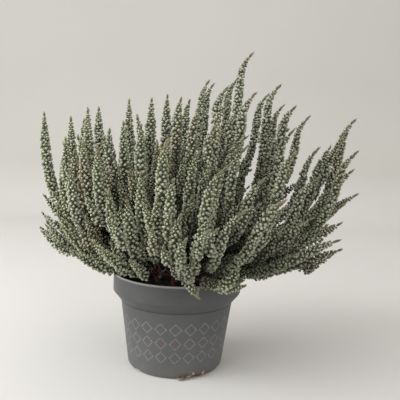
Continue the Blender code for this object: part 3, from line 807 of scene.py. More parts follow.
def from_bmesh(name, shape, sharp=None):
    """A smooth-shaded object of a bmesh, which is freed."""
    mesh = bpy.data.meshes.new(name)
    shape.to_mesh(mesh)
    shape.free()
    return smooth_object(name, mesh, sharp)


def joined(parts):
    """Several (points, triangles) pairs as one."""
    starts = np.cumsum([0] + [len(points) for points, _ in parts])
    faces = [faces + start for (_, faces), start in zip(parts, starts)]
    return np.vstack([points for points, _ in parts]), np.vstack(faces)


def dress(piece, finish, slot, *nodes):
    """Gives a piece its finish, rides it on the root body and lets it stand for its nodes. The slot is not
    used.
    """
    piece.data.materials.clear()
    piece.data.materials.append(finish)
    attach(piece, "root")
    for node in nodes:
        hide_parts(node)


def bent(points, count):
    """A smooth path through three points, as a quadratic curve that passes the middle one."""
    a, m, b = points
    c = 2 * m - 0.5 * (a + b)
    t = np.linspace(0.0, 1.0, count)[:, None]
    return (1 - t) ** 2 * a + 2 * t * (1 - t) * c + t**2 * b


def tube_mesh(path, radii, sides):
    """Points, triangles and ring numbers of a closed tube whose ends are points."""
    first, second = frames(path)
    angles = 2 * math.pi * np.arange(sides) / sides
    ring = np.cos(angles)[None, :, None] * first[:, None] + np.sin(angles)[None, :, None] * second[:, None]
    points = path[:, None] + np.asarray(radii)[:, None, None] * ring
    count = len(path)
    i = np.arange(sides)
    k = (i + 1) % sides
    faces = []
    for j in range(count - 1):
        low, high = j * sides, (j + 1) * sides
        faces.append(np.column_stack([low + i, low + k, high + k]))
        faces.append(np.column_stack([low + i, high + k, high + i]))
    foot, tip = count * sides, count * sides + 1
    faces.append(np.column_stack([k, i, np.full(sides, foot)]))
    faces.append(np.column_stack([(count - 1) * sides + i, (count - 1) * sides + k, np.full(sides, tip)]))
    ends = np.array([path[0] - unit(path[1] - path[0]) * radii[0] * FOOT_END,
                     path[-1] + unit(path[-1] - path[-2]) * radii[-1] * TIP_END])
    rings = np.concatenate([np.repeat(np.arange(count), sides), [0, count - 1]])
    return np.vstack([points.reshape(-1, 3), ends]), np.vstack(faces), rings


def bud_template(sides, rings):
    """Places along a bud, across it and round it of its points, and its triangles."""
    along, across, turn, starts, faces = [], [], [], [], []
    for t, r in rings:
        starts.append(len(along))
        for i in range(sides if r else 1):
            along.append(t)
            across.append(r)
            turn.append(2 * math.pi * i / sides)
    for a, b, (_, inner), (_, outer) in zip(starts, starts[1:], rings, rings[1:]):
        for i in range(sides):
            k = (i + 1) % sides
            if not inner:
                faces.append((a, b + k, b + i))
            elif not outer:
                faces.append((a + i, a + k, b))
            else:
                faces.append((a + i, a + k, b + k))
                faces.append((a + i, b + k, b + i))
    return np.array(along), np.array(across), np.array(turn), np.array(faces)


FINE_BUD, PLAIN_BUD, POINTED_BUD = [bud_template(*shape)
                                    for shape in (FINE_SHAPE, PLAIN_SHAPE, POINTED_SHAPE)]


class Leafage:
    """Collects the cores and the buds of the shoots of one piece."""

    def __init__(self):
        self.points, self.faces, self.count = [], [], 0
        self.values = {key: [] for key in ("along", "tint", "brown", "fresh")}

    def add(self, points, faces, **values):
        """Adds points, their triangles and their values."""
        self.points.append(points)
        self.faces.append(faces + self.count)
        self.count += len(points)
        for key, value in values.items():
            self.values[key].append(np.broadcast_to(value, len(points)))

    def buds(self, shape, anchors, ways, sides, lengths, widths, tint, brown, fresh):
        """Adds one bud of a shape at each anchor, pointing along its way."""
        bud_along, bud_across, bud_turn, bud_faces = shape
        across = np.cross(ways, sides)
        ring = (np.cos(bud_turn)[None, :, None] * sides[:, None]
                + np.sin(bud_turn)[None, :, None] * across[:, None])
        points = (anchors[:, None] + lengths[:, None, None] * bud_along[None, :, None] * ways[:, None]
                  + (widths[:, None] * bud_across[None])[:, :, None] * ring)
        size = len(bud_along)
        faces = (bud_faces[None] + size * np.arange(len(anchors))[:, None, None]).reshape(-1, 3)
        self.add(points.reshape(-1, 3), faces, along=np.tile(bud_along, len(anchors)),
                 tint=np.repeat(tint, size), brown=np.repeat(brown, size), fresh=np.repeat(fresh, size))

    def piece(self, name):
        """All that was collected, as one object."""
        values = {key: np.concatenate(value) for key, value in self.values.items()}
        return mesh_object(name, np.vstack(self.points), np.vstack(self.faces), values)


def tapered(along, length, taper):
    """How full a shoot is at a place, from 1 low down to 0 at its tip."""
    return np.clip((length - along) / taper, 0.0, 1.0) ** FLUFF_POWER


def fluff_radius(along, length, taper):
    """How far a shoot's buds reach: soon full above the bare foot, then tapered to the tip."""
    rise = min(LEAFY_RISE, LEAFY_RISE_SHARE * length)
    swell = np.clip((along - leafy_from(length)) / rise, 0.0, 1.0)
    full = TIP_RADIUS + (FLUFF_RADIUS - TIP_RADIUS) * tapered(along, length, taper)
    return STEM_RADIUS + (full - STEM_RADIUS) * np.maximum(swell, LEAST_SWELL)


def whorls(length, size, taper, draw):
    """Distances along a shoot of its whorls and how many buds each has."""
    places, counts = [], []
    along = leafy_from(length) * size + draw.uniform(*BARE_MORE) * min(1.0, length / LEAFY_TAPER)
    while along < length - CLOSE_END:
        radius = float(fluff_radius(along, length, taper)) * size
        full = float(tapered(along, length, taper))
        foot = 1.0 - min(1.0, along / LEAFY_TAPER)
        places.append(along)
        counts.append(LEAST_BUDS + int((radius > MORE_FROM).sum()))
        pitch = TIP_PITCH + (BUD_PITCH - TIP_PITCH) * full + FOOT_PITCH * foot**2
        along += pitch * draw.uniform(*PITCH_RANGE)
    return np.array(places), np.array(counts)


def add_core(leafage, path, length, taper, close, kind, size):
    """Adds a shoot's slim core: bare brown stem at its foot and in the hollows, with painted shade in the
    hollows, green at its tip.
    """
    stations = np.linspace(0.0, length, max(CORE_RINGS, round(length / CORE_STEP)))
    core = at_lengths(path, stations)
    leafy = fluff_radius(stations, length, taper) * size
    radii = np.maximum(CORE_LEAST, CORE_SHARE * leafy)
    radii[stations < leafy_from(length)] = STEM_RADIUS * size
    left = (length - stations) / close
    radii = np.where(left < 1.0, np.interp(left, (0.0, 1.0), TIP_CORE), radii)
    points, faces, rings = tube_mesh(core, radii, CORE_SIDES)
    brown, fresh = kind(core)
    dark = in_hollow(core)
    bare = np.maximum(dark, np.clip(FOOT_BROWN - stations / FOOT_BROWN_SPAN, 0.0, 1.0))
    tip = np.clip(TIP_GREEN - left, 0.0, 1.0)
    # the cores in the hollows get painted shade
    leafage.add(points, faces, along=(CORE_TONE + TIP_TONE * tip)[rings],
                tint=(CORE_TINT - HOLLOW_SHADE * dark)[rings],
                brown=np.maximum(bare, brown + CLOSE_BROWN * tip)[rings], fresh=fresh[rings])


def leafy_shoot(leafage, path, draw, kind, size=1.0, blown=0.0, lit=0.0):
    """Adds a shoot's core and its whorls of buds, which lie close to its tip's last stretch."""
    close = draw.uniform(*CLOSE_TIP) * size + blown * draw.uniform(*BLOWN_TIP)
    light = lit + draw.uniform(-SHOOT_TINT, SHOOT_TINT)
    length = path_length(path)
    taper = min(draw.uniform(*FLUFF_TAPER), TAPER_SHARE * length)
    add_core(leafage, path, length, taper, close, kind, size)

    # values at each whorl
    places, counts = whorls(length, size, taper, draw)
    centres = at_lengths(path, places)
    first, second = frames(centres)
    ways = np.cross(first, second)
    left = (length - places) / close
    radii = fluff_radius(places, length, taper) * size
    radii = np.where(left < 1.0, np.interp(left, (0.0, 1.0), CLOSE_RADIUS), radii)
    share = np.clip(tapered(places, length, taper), CLOSE_SHARE, 1.0)
    shade = shade_of(centres, length - places)
    brown, fresh = kind(centres)

    # values at each bud
    phase = draw.uniform(0.0, 2 * math.pi)
    number = np.repeat(np.arange(len(places)), counts)
    turn = np.concatenate([2 * math.pi * np.arange(n) / n for n in counts])
    turn += phase + number * math.pi / counts[number] + TWIST * places[number]
    left, radii, share, shade, ways = left[number], radii[number], share[number], shade[number], ways[number]
    closing = left < 1.0
    count = len(number)
    loose = (LOOSE_LEAST + LOOSE_MORE * share) * (1.0 + ROUGHER * (1.0 - size))
    turn += draw.normal(0.0, TURN_JITTER, count) * loose
    radial = np.cos(turn)[:, None] * first[number] + np.sin(turn)[:, None] * second[number]
    sides = np.cos(turn)[:, None] * second[number] - np.sin(turn)[:, None] * first[number]
    tilt = TIP_TILT + (BUD_TILT - TIP_TILT) * share ** TILT_POWER
    tilt = np.where(closing, CLOSE_TILT, tilt)
    tilt += draw.normal(0.0, TILT_JITTER, count) * loose
    heading = np.sin(tilt)[:, None] * radial + np.cos(tilt)[:, None] * ways
    root = ROOT_SHARE * np.maximum(CORE_LEAST, CORE_SHARE * radii)
    slid = (draw.normal(0.0, SLIDE_JITTER, count) * loose)[:, None] * ways
    anchors = centres[number] + root[:, None] * radial + slid
    lengths = np.minimum((radii - root) / np.sin(tilt), BUD_LONGEST) * draw.uniform(*LENGTH_RANGE, count)
    lengths = np.maximum(lengths, BUD_SHORTEST)
    widths = BUD_LEAST + (BUD_RADIUS - BUD_LEAST) * share ** WIDTH_POWER
    widths *= draw.uniform(*WIDTH_RANGE, count)
    widths *= np.where(closing, np.interp(left, (0.0, 1.0), CLOSE_WIDTHS), 1.0)
    # random tone with each shoot's tone and the painted light and shade of shade_of
    tint = draw.uniform(*TINT_RANGE, count) + light + shade
    tint -= CLOSE_DARK * closing
    brown = brown[number] + CLOSE_BROWN * closing + draw.normal(0.0, BROWN_JITTER, count)
    brown = np.clip(brown, 0.0, 1.0)
    fresh = np.clip(fresh[number] + TIP_FRESH * (1.0 - share), 0.0, 1.0)

    leafy = ~in_hollow(anchors)
    deep = np.linalg.norm((anchors - DEEP_MIDDLE) / DEEP_SIZE, axis=1) < 1.0
    open_buds = leafy & ~closing
    values = (anchors, heading, sides, lengths, widths, tint, brown, fresh)
    for shape, chosen in ((FINE_BUD, open_buds & ~deep), (PLAIN_BUD, open_buds & deep),
                          (POINTED_BUD, leafy & closing)):
        leafage.buds(shape, *(value[chosen] for value in values))


def in_hollow(places):
    """Which places lie in the dark hollows above the lip, where the stems are bare."""
    inside = np.zeros(len(places), bool)
    for middle, size in HOLLOWS:
        inside |= np.linalg.norm((places - middle) / size, axis=1) < 1.0
    return inside


def shade_of(places, left):
    """How much lighter buds are near a tip, and the painted shade and light on them: painted shade deep in
    the bush, low down towards the right, on the right side and in places above the lip, and painted light on
    the left side. The deep and low shade stay off buds that hang outside the rim.
    """
    young = np.clip(1.0 - left / YOUNG_LENGTH, 0.0, 1.0)
    # painted shade deep in the bush, near the crown
    deep = np.clip((DEEP_FROM - np.linalg.norm(places - CROWN, axis=1)) / DEEP_SPAN, 0.0, 1.0)
    # painted shade on the right side, painted light on the left side
    shaded_side = np.clip((places[:, 0] - SIDE_SHADE_FROM) / SIDE_SHADE_SPAN, *SIDE_SHADE_RANGE)
    # painted shade low down towards the right, kept off buds outside the rim
    low = np.clip((LOW_HEIGHT - places[:, 2]) / LOW_DROP, 0.0, 1.0)
    low *= np.clip((places[:, 0] - LOW_FROM) / SIDE_SHADE_SPAN, 0.0, 1.0)
    top, radius, fade = OVER_RIM
    out = np.hypot(places[:, 0], places[:, 1])
    inside = 1.0 - np.clip((top - places[:, 2]) / fade, 0.0, 1.0) * np.clip((out - radius) / fade, 0.0, 1.0)
    shade = YOUNG_LIGHT * young - SIDE_SHADE * shaded_side - inside * (DEEP_SHADE * deep + LOW_SHADE * low)
    # painted shade in places above the lip
    for middle, size in SHADED_PLACES:
        shade -= PLACE_SHADE * np.clip(1.0 - (((places - middle) / size) ** 2).sum(axis=1), 0.0, 1.0)
    return shade


def clear_of_pot(path):
    """A side shoot's path lifted off the soil and the lip, or held outside the rim."""
    for _ in range(CLEAR_ROUNDS):
        path = path + off_the_pot(path, path_radii(path))
    return path


def in_opening(path):
    """Whether a side shoot would fill a dark gap that shows above the lip at the front."""
    x, y, z = path[-1]
    return y < OPEN_Y and z < OPEN_Z and any(low < x < high for low, high in OPENINGS)


def fork(path, places, draw):
    """A point of a path between two shares of its length, and one a little ahead of it."""
    return at_lengths(path, np.array([0.0, AHEAD]) + draw.uniform(*places) * path_length(path))


def companion_path(path, draw):
    """A side shoot that runs up beside a shoot and ends a little below its tip."""
    top = path_length(path) * (1.0 - draw.uniform(*COMPANION_TOPS))
    own = min(draw.uniform(*COMPANION_LENGTHS), COMPANION_MOST * top)
    start, ahead, end = at_lengths(path, [top - own, top - own + AHEAD, top])
    turn = draw.uniform(0.0, 2 * math.pi)
    first, second = frames(np.array([start, ahead, end]))
    side = math.cos(turn) * first[2] + math.sin(turn) * second[2]
    if side[2] < UNDERSIDE:
        side = -side
    end = end + draw.uniform(*COMPANION_GAPS) * side
    way = unit(unit(ahead - start) + COMPANION_SPLAY * side)
    return curve(start, way, end, unit(unit(end - start) + COMPANION_RISE * UP))


def basal_path(path, places, splay, draw):
    """A short shoot from near a shoot's foot that grows out and up."""
    start, ahead = fork(path, places, draw)
    turn = draw.uniform(0.0, 2 * math.pi)
    first, second = frames(np.array([start, ahead, 2 * ahead - start]))
    side = math.cos(turn) * first[0] + math.sin(turn) * second[0]
    way = unit(unit(ahead - start) + splay * side + BASAL_LIFT * UP)
    end = start + draw.uniform(*BASAL_LENGTHS) * unit(way + 0.5 * BASAL_LIFT * UP)
    return clear_of_pot(curve(start, way, end, unit(way + BASAL_RISE * UP)))


def riser_path(path, draw):
    """A side shoot that leaves a shoot part of the way up and stands free on its outer side."""
    start, ahead = fork(path, RISER_PLACES, draw)
    along = unit(ahead - start)
    outward = (start - CROWN) * (1.0, 1.0, 0.0) + 1.0
    outward = unit(outward - outward.dot(along) * along)
    turn = draw.uniform(-RISER_TURN, RISER_TURN)
    side = math.cos(turn) * outward + math.sin(turn) * np.cross(along, outward)
    way = unit(along + RISER_SPLAY * side)
    end = start + draw.uniform(*RISER_LENGTHS) * unit(along + RISER_OUT * side + RISER_UP * UP)
    return clear_of_pot(curve(start, way, end, unit(unit(end - start) + RISER_RISE * UP)))


def kind_of(faded, pale):
    """How brown and how fresh the buds of a shoot are at given places: in soft patches."""
    def kind(places):
        patch = np.array([noise.noise(Vector(place) * PATCH_SCALE) for place in places])
        low = np.clip((LOW_FRESH - places[:, 2]) / LOW_FRESH_SPAN, 0.0, 1.0)
        brown = faded + np.clip((patch - BROWN_FROM) * BROWN_SLOPE, 0.0, BROWN_MOST)
        fresh = pale + LOW_FRESH_MORE * low * np.clip(FRESH_TO - patch, 0.0, 1.0)
        return brown, fresh
    return kind


def build_sprays(finish, paths, sprays):
    """One piece for each spray, which stands for its solid."""
    for s in range(SPRAYS):
        draw = np.random.default_rng((SEED, s))
        leafage = Leafage()
        mine = [path for path, owner in zip(paths, sprays) if owner == s]
        for i, path in enumerate(mine):
            kind = kind_of(FADED if draw.uniform() < FADED_SHARE else 0.0, draw.uniform(*FRESH_RANGE))
            blown = exposed(path[-1])
            leafy_shoot(leafage, path, draw, kind, 1.0 - BLOWN_SLIM * blown, blown)
            for _ in range(draw.integers(*COMPANIONS) - FEWER_ALONE * (blown > ALONE_FROM)):
                companion = companion_path(path, draw)
                if not in_opening(companion):
                    leafy_shoot(leafage, companion, draw, kind, COMPANION_SIZE)
            riser = riser_path(path, draw)
            if riser[-1][2] > RISER_LEAST_Z and not in_opening(riser):
                leafy_shoot(leafage, riser, draw, kind, RISER_SIZE)
            sprigs = [basal_path(path, BASAL_PLACES, BASAL_SPLAY, draw) for _ in range(BASALS)]
            if i == 0:
                sprigs += [basal_path(path, INNER_PLACES, INNER_SPLAY, draw) for _ in range(INNERS)]
            for sprig in sprigs:
                if not in_opening(sprig):
                    leafy_shoot(leafage, sprig, draw, kind, BASAL_SIZE)
        node = f"spray_{s + 1:02d}"
        dress(leafage.piece(f"leafy_{node}"), finish, "leaf", node)


def build_shoots(name, finish, seed, shoots, size, light, fresh):
    """Shoots through given points, in one piece."""
    draw = np.random.default_rng(seed)
    leafage = Leafage()
    for points in np.array(shoots):
        path = clear_of_pot(bent(points, PATH_POINTS))
        leafy_shoot(leafage, path, draw, kind_of(0.0, fresh), size, lit=light)
    dress(leafage.piece(name), finish, "leaf")


def build_wood(finish, stems, bases):
    """One piece for each woody stem, thickest half-way up, with slightly uneven bark."""
    draw = np.random.default_rng(SEED + 1)
    for number, path in enumerate(stems):
        length = path_length(path)
        trunk = at_lengths(path, np.linspace(0.0, length, TRUNK_RINGS))
        radii = TRUNK_RADIUS * np.interp(np.linspace(0, 1, TRUNK_RINGS), *TRUNK_SWELL)
        tubes = [tube_mesh(trunk, radii, TRUNK_SIDES)]
        mine = bases[number * SPRAYS_PER_STEM:(number + 1) * SPRAYS_PER_STEM]
        for k, (base, heading) in enumerate(mine):
            start = at_lengths(path, [length - TWIG_FIRST - TWIG_STEP * k])[0]
            elbow = start + TWIG_ELBOW * (base - start) + TWIG_SAG * (unit(base - start) - heading)
            count = max(TWIG_RINGS, round(np.linalg.norm(base - start) / WOOD_STEP))
            twig = bent((start, elbow, base + TWIG_SUNK * heading), count)
            tubes.append(tube_mesh(twig, TWIG_RADIUS * np.linspace(*TWIG_THINS, count), TWIG_SIDES))
        parts = [(points + draw.normal(0.0, BARK_ROUGH, points.shape), faces) for points, faces, _ in tubes]
        dress(mesh_object(f"wood_{number + 1}", *joined(parts)), finish, "bark", f"woody_stem_{number + 1}")


def eased(outline):
    """An outline whose corners are rounded off by short curves."""
    points = np.array(outline, float)
    result = [points[0]]
    for before, corner, after in zip(points, points[1:], points[2:]):
        room = EASE_SHARE * min(np.linalg.norm(corner - before), np.linalg.norm(after - corner))
        ease = min(EASE, room)
        start = corner + ease * unit(before - corner)
        end = corner + ease * unit(after - corner)
        for i in range(EASE_STEPS + 1):
            t = i / EASE_STEPS
            result.append((1 - t) ** 2 * start + 2 * t * (1 - t) * corner + t**2 * end)
    return [*result, points[-1]]


def turned(name, outline, steps, sharp):
    """A smooth closed solid turned about Z from an outline of (radius, z) that ends on the axis."""
    mesh = bmesh.new()
    ring = [mesh.verts.new((r * MM, 0.0, z * MM)) for r, z in outline]
    edges = [mesh.edges.new(pair) for pair in zip(ring, ring[1:])]
    bmesh.ops.spin(mesh, geom=ring + edges, cent=(0, 0, 0), axis=(0, 0, 1),
                   angle=2 * math.pi, steps=steps, use_merge=False)
    bmesh.ops.remove_doubles(mesh, verts=mesh.verts, dist=MERGE_DISTANCE)
    bmesh.ops.recalc_face_normals(mesh, faces=mesh.faces)
    return from_bmesh(name, mesh, sharp)


def pot_outline():
    """The pot wall's closed outline, outer side first, from the axis and back to it."""
    inner_rim = RIM_RADIUS - WALL
    outer = [
        (0.0, 0.0), (PAD_RADIUS, 0.0), (PAD_RADIUS + FOOT_RECESS, FOOT_RECESS),
        (FOOT_RING_INNER - FOOT_RECESS, FOOT_RECESS), (FOOT_RING_INNER, 0.0),
        *arc((FOOT_RADIUS, FOOT_ROUND), FOOT_ROUND, *FOOT_ARC, FOOT_STEPS),
        (BODY_TOP_RADIUS, BAND_FOOT_Z - LIP_ROUND), (BAND_FOOT_RADIUS, BAND_FOOT_Z),
        (RIM_RADIUS, BAND_CORNER_Z),
        (RIM_RADIUS, POT_HEIGHT), (RIM_RADIUS - RIM_LIP_WIDTH, POT_HEIGHT),
    ]
    inner = [
        (inner_rim, BAND_CORNER_Z + WALL), (inner_rim - BAND_CORNER_ROUND, BAND_CORNER_Z),
        (BAND_FOOT_RADIUS - WALL, BAND_FOOT_Z + WALL),
        (BODY_TOP_RADIUS - WALL, BAND_FOOT_Z - LIP_ROUND),
        (BODY_FOOT_RADIUS - WALL, FOOT_ROUND + BAND_CORNER_ROUND),
        (FOOT_RADIUS, FLOOR_TOP_Z), (0.0, FLOOR_TOP_Z),
    ]
    return eased(outer + inner)


def build_pot(finish):
    """The turned pot with its drain notches cut through the corner of the foot."""
    pot = turned("pot_shell", pot_outline(), POT_STEPS, POT_SHARP)
    mesh = bmesh.new()
    shape = Matrix.Diagonal((DRAIN_HEIGHT * MM, DRAIN_WIDTH / 2 * MM, DRAIN_DEPTH * MM, 1.0))
    along_x = Matrix.Rotation(math.pi / 2, 4, "Y")
    for i in range(DRAIN_NOTCHES):
        angle = math.radians(DRAIN_FIRST_ANGLE - 90.0 + i * 360.0 / DRAIN_NOTCHES)
        out = Matrix.Translation((DRAIN_RADIUS * MM, 0, 0))
        bmesh.ops.create_cone(mesh, cap_ends=True, segments=DRAIN_SIDES, radius1=1.0, radius2=1.0,
                              depth=1.0, matrix=Matrix.Rotation(angle, 4, "Z") @ out @ along_x @ shape)
    cutters = from_bmesh("drain_cutters", mesh)
    modifier = pot.modifiers.new("cut", "BOOLEAN")
    modifier.operation = "DIFFERENCE"
    modifier.object = cutters
    graph = bpy.context.evaluated_depsgraph_get()
    data = bpy.data.meshes.new_from_object(pot.evaluated_get(graph))
    pot.modifiers.clear()
    pot.data = data
    bpy.data.objects.remove(cutters)
    dress(pot, finish, "pot", "pot")


def soil_height(x, y):
    """Height of the soil's broken surface at a place, in millimetres."""
    place = Vector((x, y, 0.0))
    coarse, fine, grit = (noise.noise(place * scale) * height for scale, height in SOIL_BUMPS)
    return SOIL_TOP_Z + coarse + (fine + grit)


def ring_places(radius):
    """Places (x, y) at even steps round the soil."""
    angles = [2 * math.pi * i / SOIL_STEPS for i in range(SOIL_STEPS)]
    return [(radius * math.cos(angle), radius * math.sin(angle)) for angle in angles]


def build_soil(finish):
    """The root ball with a crumbly top, and loose crumbs on it."""
    side = SOIL_GAP + WALL
    edge = RIM_RADIUS - side - SEAT_GAP
    points, faces = [(0.0, 0.0, soil_height(0.0, 0.0))], []
    for j in range(1, SOIL_RINGS + 1):
        radius = edge * j / SOIL_RINGS
        drop = EDGE_DROP * max(0.0, radius / edge - EDGE_FROM) / EDGE_SPAN
        points += [(x, y, soil_height(x, y) - drop) for x, y in ring_places(radius)]
    lower = ((edge - SOIL_GAP, BAND_CORNER_Z + SOIL_GAP), (BODY_TOP_RADIUS - side, BAND_FOOT_Z),
             (BODY_FOOT_RADIUS - side, FOOT_ROUND + WALL), (FOOT_RADIUS - SOIL_GAP, FLOOR_TOP_Z + SEAT_GAP))
    for radius, z in lower:
        points += [(x, y, z) for x, y in ring_places(radius)]
    rows = SOIL_RINGS + len(lower)
    for i in range(SOIL_STEPS):
        k = (i + 1) % SOIL_STEPS
        faces.append((0, 1 + i, 1 + k))
        for j in range(rows - 1):
            a, b = 1 + j * SOIL_STEPS, 1 + (j + 1) * SOIL_STEPS
            faces.append((a + i, b + i, b + k))
            faces.append((a + i, b + k, a + k))
        last = 1 + (rows - 1) * SOIL_STEPS
        faces.append((last + i, 1 + rows * SOIL_STEPS, last + k))
    points.append((0.0, 0.0, FLOOR_TOP_Z + SEAT_GAP))
    parts = [(np.array(points), np.array(faces))]
    draw = random.Random(SEED + 2)
    base = ball()
    for _ in range(CRUMBS):
        radius, angle = edge * CRUMB_REACH * math.sqrt(draw.random()), draw.uniform(0, 2 * math.pi)
        x, y = radius * math.cos(angle), radius * math.sin(angle)
        size = draw.uniform(*CRUMB_SIZES)
        crumb = lump(base, size, draw) + (x, y, soil_height(x, y) + CRUMB_SEAT * size)
        parts.append((crumb, base[1]))
    dress(mesh_object("soil_ball", *joined(parts)), finish, "soil", "soil")


def ball():
    """Points and triangles of a ball of radius 1."""
    mesh = bmesh.new()
    bmesh.ops.create_icosphere(mesh, subdivisions=2, radius=1.0)
    points = np.array([v.co for v in mesh.verts])
    faces = np.array([[v.index for v in f.verts] for f in mesh.faces])
    mesh.free()
    return points, faces


def lump(base, size, draw):
    """A ball's points made into a crumb: flattened, turned and dented."""
    points = base[0] * [draw.uniform(*span) for span in LUMP_SPANS]
    shift = Vector([draw.uniform(0, DENT_SHIFT) for _ in range(3)])
    dents = np.array([1.0 + DENT_DEPTH * noise.noise(Vector(p) * DENT_SCALE + shift) for p in points])
    turn = np.array(Matrix.Rotation(draw.uniform(0, 2 * math.pi), 3, "Z"))
    return size * (points * dents[:, None]) @ turn.T


def build_roots(finish):
    """Dry root threads and crumbs that show at the front drain notch."""
    draw = random.Random(SEED + 3)
    angle = math.radians(DRAIN_FIRST_ANGLE - 90.0)
    out = np.array([math.cos(angle), math.sin(angle), 0.0])
    side = np.array([-out[1], out[0], 0.0])
    parts = []
    for _ in range(THREADS):
        across = draw.uniform(*THREAD_ACROSS)
        bends = [out * (FOOT_RADIUS - THREAD_SUNK) + side * across + draw.uniform(*THREAD_START_Z) * UP]
        for outs, sides, heights in THREAD_BENDS:
            bend = out * (FOOT_RADIUS + draw.uniform(*outs)) + side * (across + draw.uniform(*sides))
            bend[2] = draw.uniform(*heights)
            bends.append(bend)
        path = bent(bends, THREAD_POINTS)
        path[:, 2] = np.maximum(path[:, 2], THREAD_LEAST_Z)
        radii = np.linspace(*THREAD_RADII, THREAD_POINTS) * draw.uniform(*THREAD_RANGE)
        parts.append(tube_mesh(path, radii, THREAD_SIDES)[:2])
    base = ball()
    for span in CHIPS * [CHIP_SIZES] + GRAINS * [GRAIN_SIZES]:
        size = draw.uniform(*span)
        place = out * (FOOT_RADIUS + draw.uniform(*CHIP_OUT)) + side * draw.uniform(*CHIP_ACROSS)
        parts.append((lump(base, size, draw) + place + (0.0, 0.0, draw.uniform(*CHIP_Z)), base[1]))
    dress(mesh_object("root_threads", *joined(parts)), finish, "soil")


def shader(name, roughness):
    """A node material and its Principled shader, with an even or a varied roughness."""
    made = bpy.data.materials.new(name)
    made.use_nodes = True
    node = made.node_tree.nodes["Principled BSDF"]
    if isinstance(roughness, tuple):
        link(made, varied(made, *roughness), node.inputs["Roughness"])
    else:
        node.inputs["Roughness"].default_value = roughness
    return made, node


def add(made, kind, settings=None, **sockets):
    """A node whose sockets, named with spaces as underscores, take values or other outputs."""
    node = made.node_tree.nodes.new(kind)
    for key, value in (settings or {}).items():
        setattr(node, key, value)
    for key, value in sockets.items():
        socket = node.inputs[int(key[1:])] if key[0] == "_" else node.inputs[key.replace("_", " ")]
        if isinstance(value, bpy.types.NodeSocket):
            made.node_tree.links.new(value, socket)
        else:
            socket.default_value = value
    return node


def link(made, output, socket):
    made.node_tree.links.new(output, socket)


def ramp(made, factor, stops):
    """A colour ramp's output for stops of (place, linear colour)."""
    node = add(made, "ShaderNodeValToRGB", Fac=factor)
    elements = node.color_ramp.elements
    while len(elements) < len(stops):
        elements.new(0.5)
    for element, (place, colour) in zip(elements, stops):
        element.position = place
        element.color = (*colour, 1.0)
    return node.outputs["Color"]


def attribute(made, name):
    return add(made, "ShaderNodeAttribute", {"attribute_name": name}).outputs["Fac"]


def mixed(made, factor, first, second):
    node = add(made, "ShaderNodeMixRGB", Fac=factor, Color1=first, Color2=second)
    return node.outputs["Color"]


def scaled(made, colour, factor):
    node = add(made, "ShaderNodeVectorMath", {"operation": "SCALE"}, _0=colour, Scale=factor)
    return node.outputs["Vector"]


def object_place(made):
    return add(made, "ShaderNodeTexCoord").outputs["Object"]


def along_axes(made, place):
    return add(made, "ShaderNodeSeparateXYZ", Vector=place).outputs


def noisy(made, scale, detail=2.0, roughness=0.5):
    node = add(made, "ShaderNodeTexNoise", Vector=object_place(made), Scale=scale, Detail=detail,
               Roughness=roughness)
    return node.outputs["Fac"]


def mapped(made, value, low, high, new_low, new_high):
    node = add(made, "ShaderNodeMapRange", Value=value, From_Min=low, From_Max=high,
               To_Min=new_low, To_Max=new_high)
    return node.outputs["Result"]


def varied(made, low, high, *grain):
    """A value that a noise carries between two ends; grain is what noisy takes."""
    return mapped(made, noisy(made, *grain), *NOISE_ENDS, low, high)


def calculated(made, operation, first, second=0.0, third=0.0):
    node = add(made, "ShaderNodeMath", {"operation": operation}, _0=first, _1=second, _2=third)
    return node.outputs[0]


def product(made, first, second):
    return calculated(made, "MULTIPLY", first, second)


def bumped(made, node, grain, strength, distance):
    """Gives a shader a bump from a noise; grain is what noisy takes."""
    bump = add(made, "ShaderNodeBump", Height=noisy(made, *grain), Strength=strength, Distance=distance)
    link(made, bump.outputs["Normal"], node.inputs["Normal"])


def bud_finish():
    """Silver-green buds, with painted shade at their dark necks and pale tips that are partly a painted
    highlight.
    """
    made, node = shader("heather_bud", BUD_ROUGHNESS)
    along = attribute(made, "along")
    green, faded, fresh = [ramp(made, along, list(zip(BUD_PLACES, colours)))
                           for colours in (GREEN_BUD, FADED_BUD, FRESH_BUD)]
    colour = mixed(made, attribute(made, "fresh"), green, fresh)
    colour = mixed(made, attribute(made, "brown"), colour, faded)
    # the tint carries random tone with painted light and shade
    light = mapped(made, attribute(made, "tint"), *TINT_LIGHT)
    colour = scaled(made, colour, product(made, light, varied(made, *BUD_MOTTLE)))
    link(made, colour, node.inputs["Base Color"])
    bumped(made, node, *BUD_BUMP)
    node.inputs["Sheen Weight"].default_value = BUD_SHEEN
    return made


def grained(name, roughness, grain, stops, *bump):
    """A rough material: a noise through a colour ramp, and a bump."""
    made, node = shader(name, roughness)
    link(made, ramp(made, noisy(made, *grain), stops), node.inputs["Base Color"])
    bumped(made, node, *bump)
    return made


def bark_finish():
    """Reddish-brown bark with darker streaks."""
    return grained("heather_bark", BARK_ROUGHNESS, *BARK)


def soil_finish():
    """Damp dark peat with paler fibres."""
    return grained("peat", PEAT_ROUGHNESS, *PEAT)


def root_finish():
    """Dry straw-coloured root threads and crumbs."""
    return grained("dry_roots", 0.85, *DRY_ROOT)


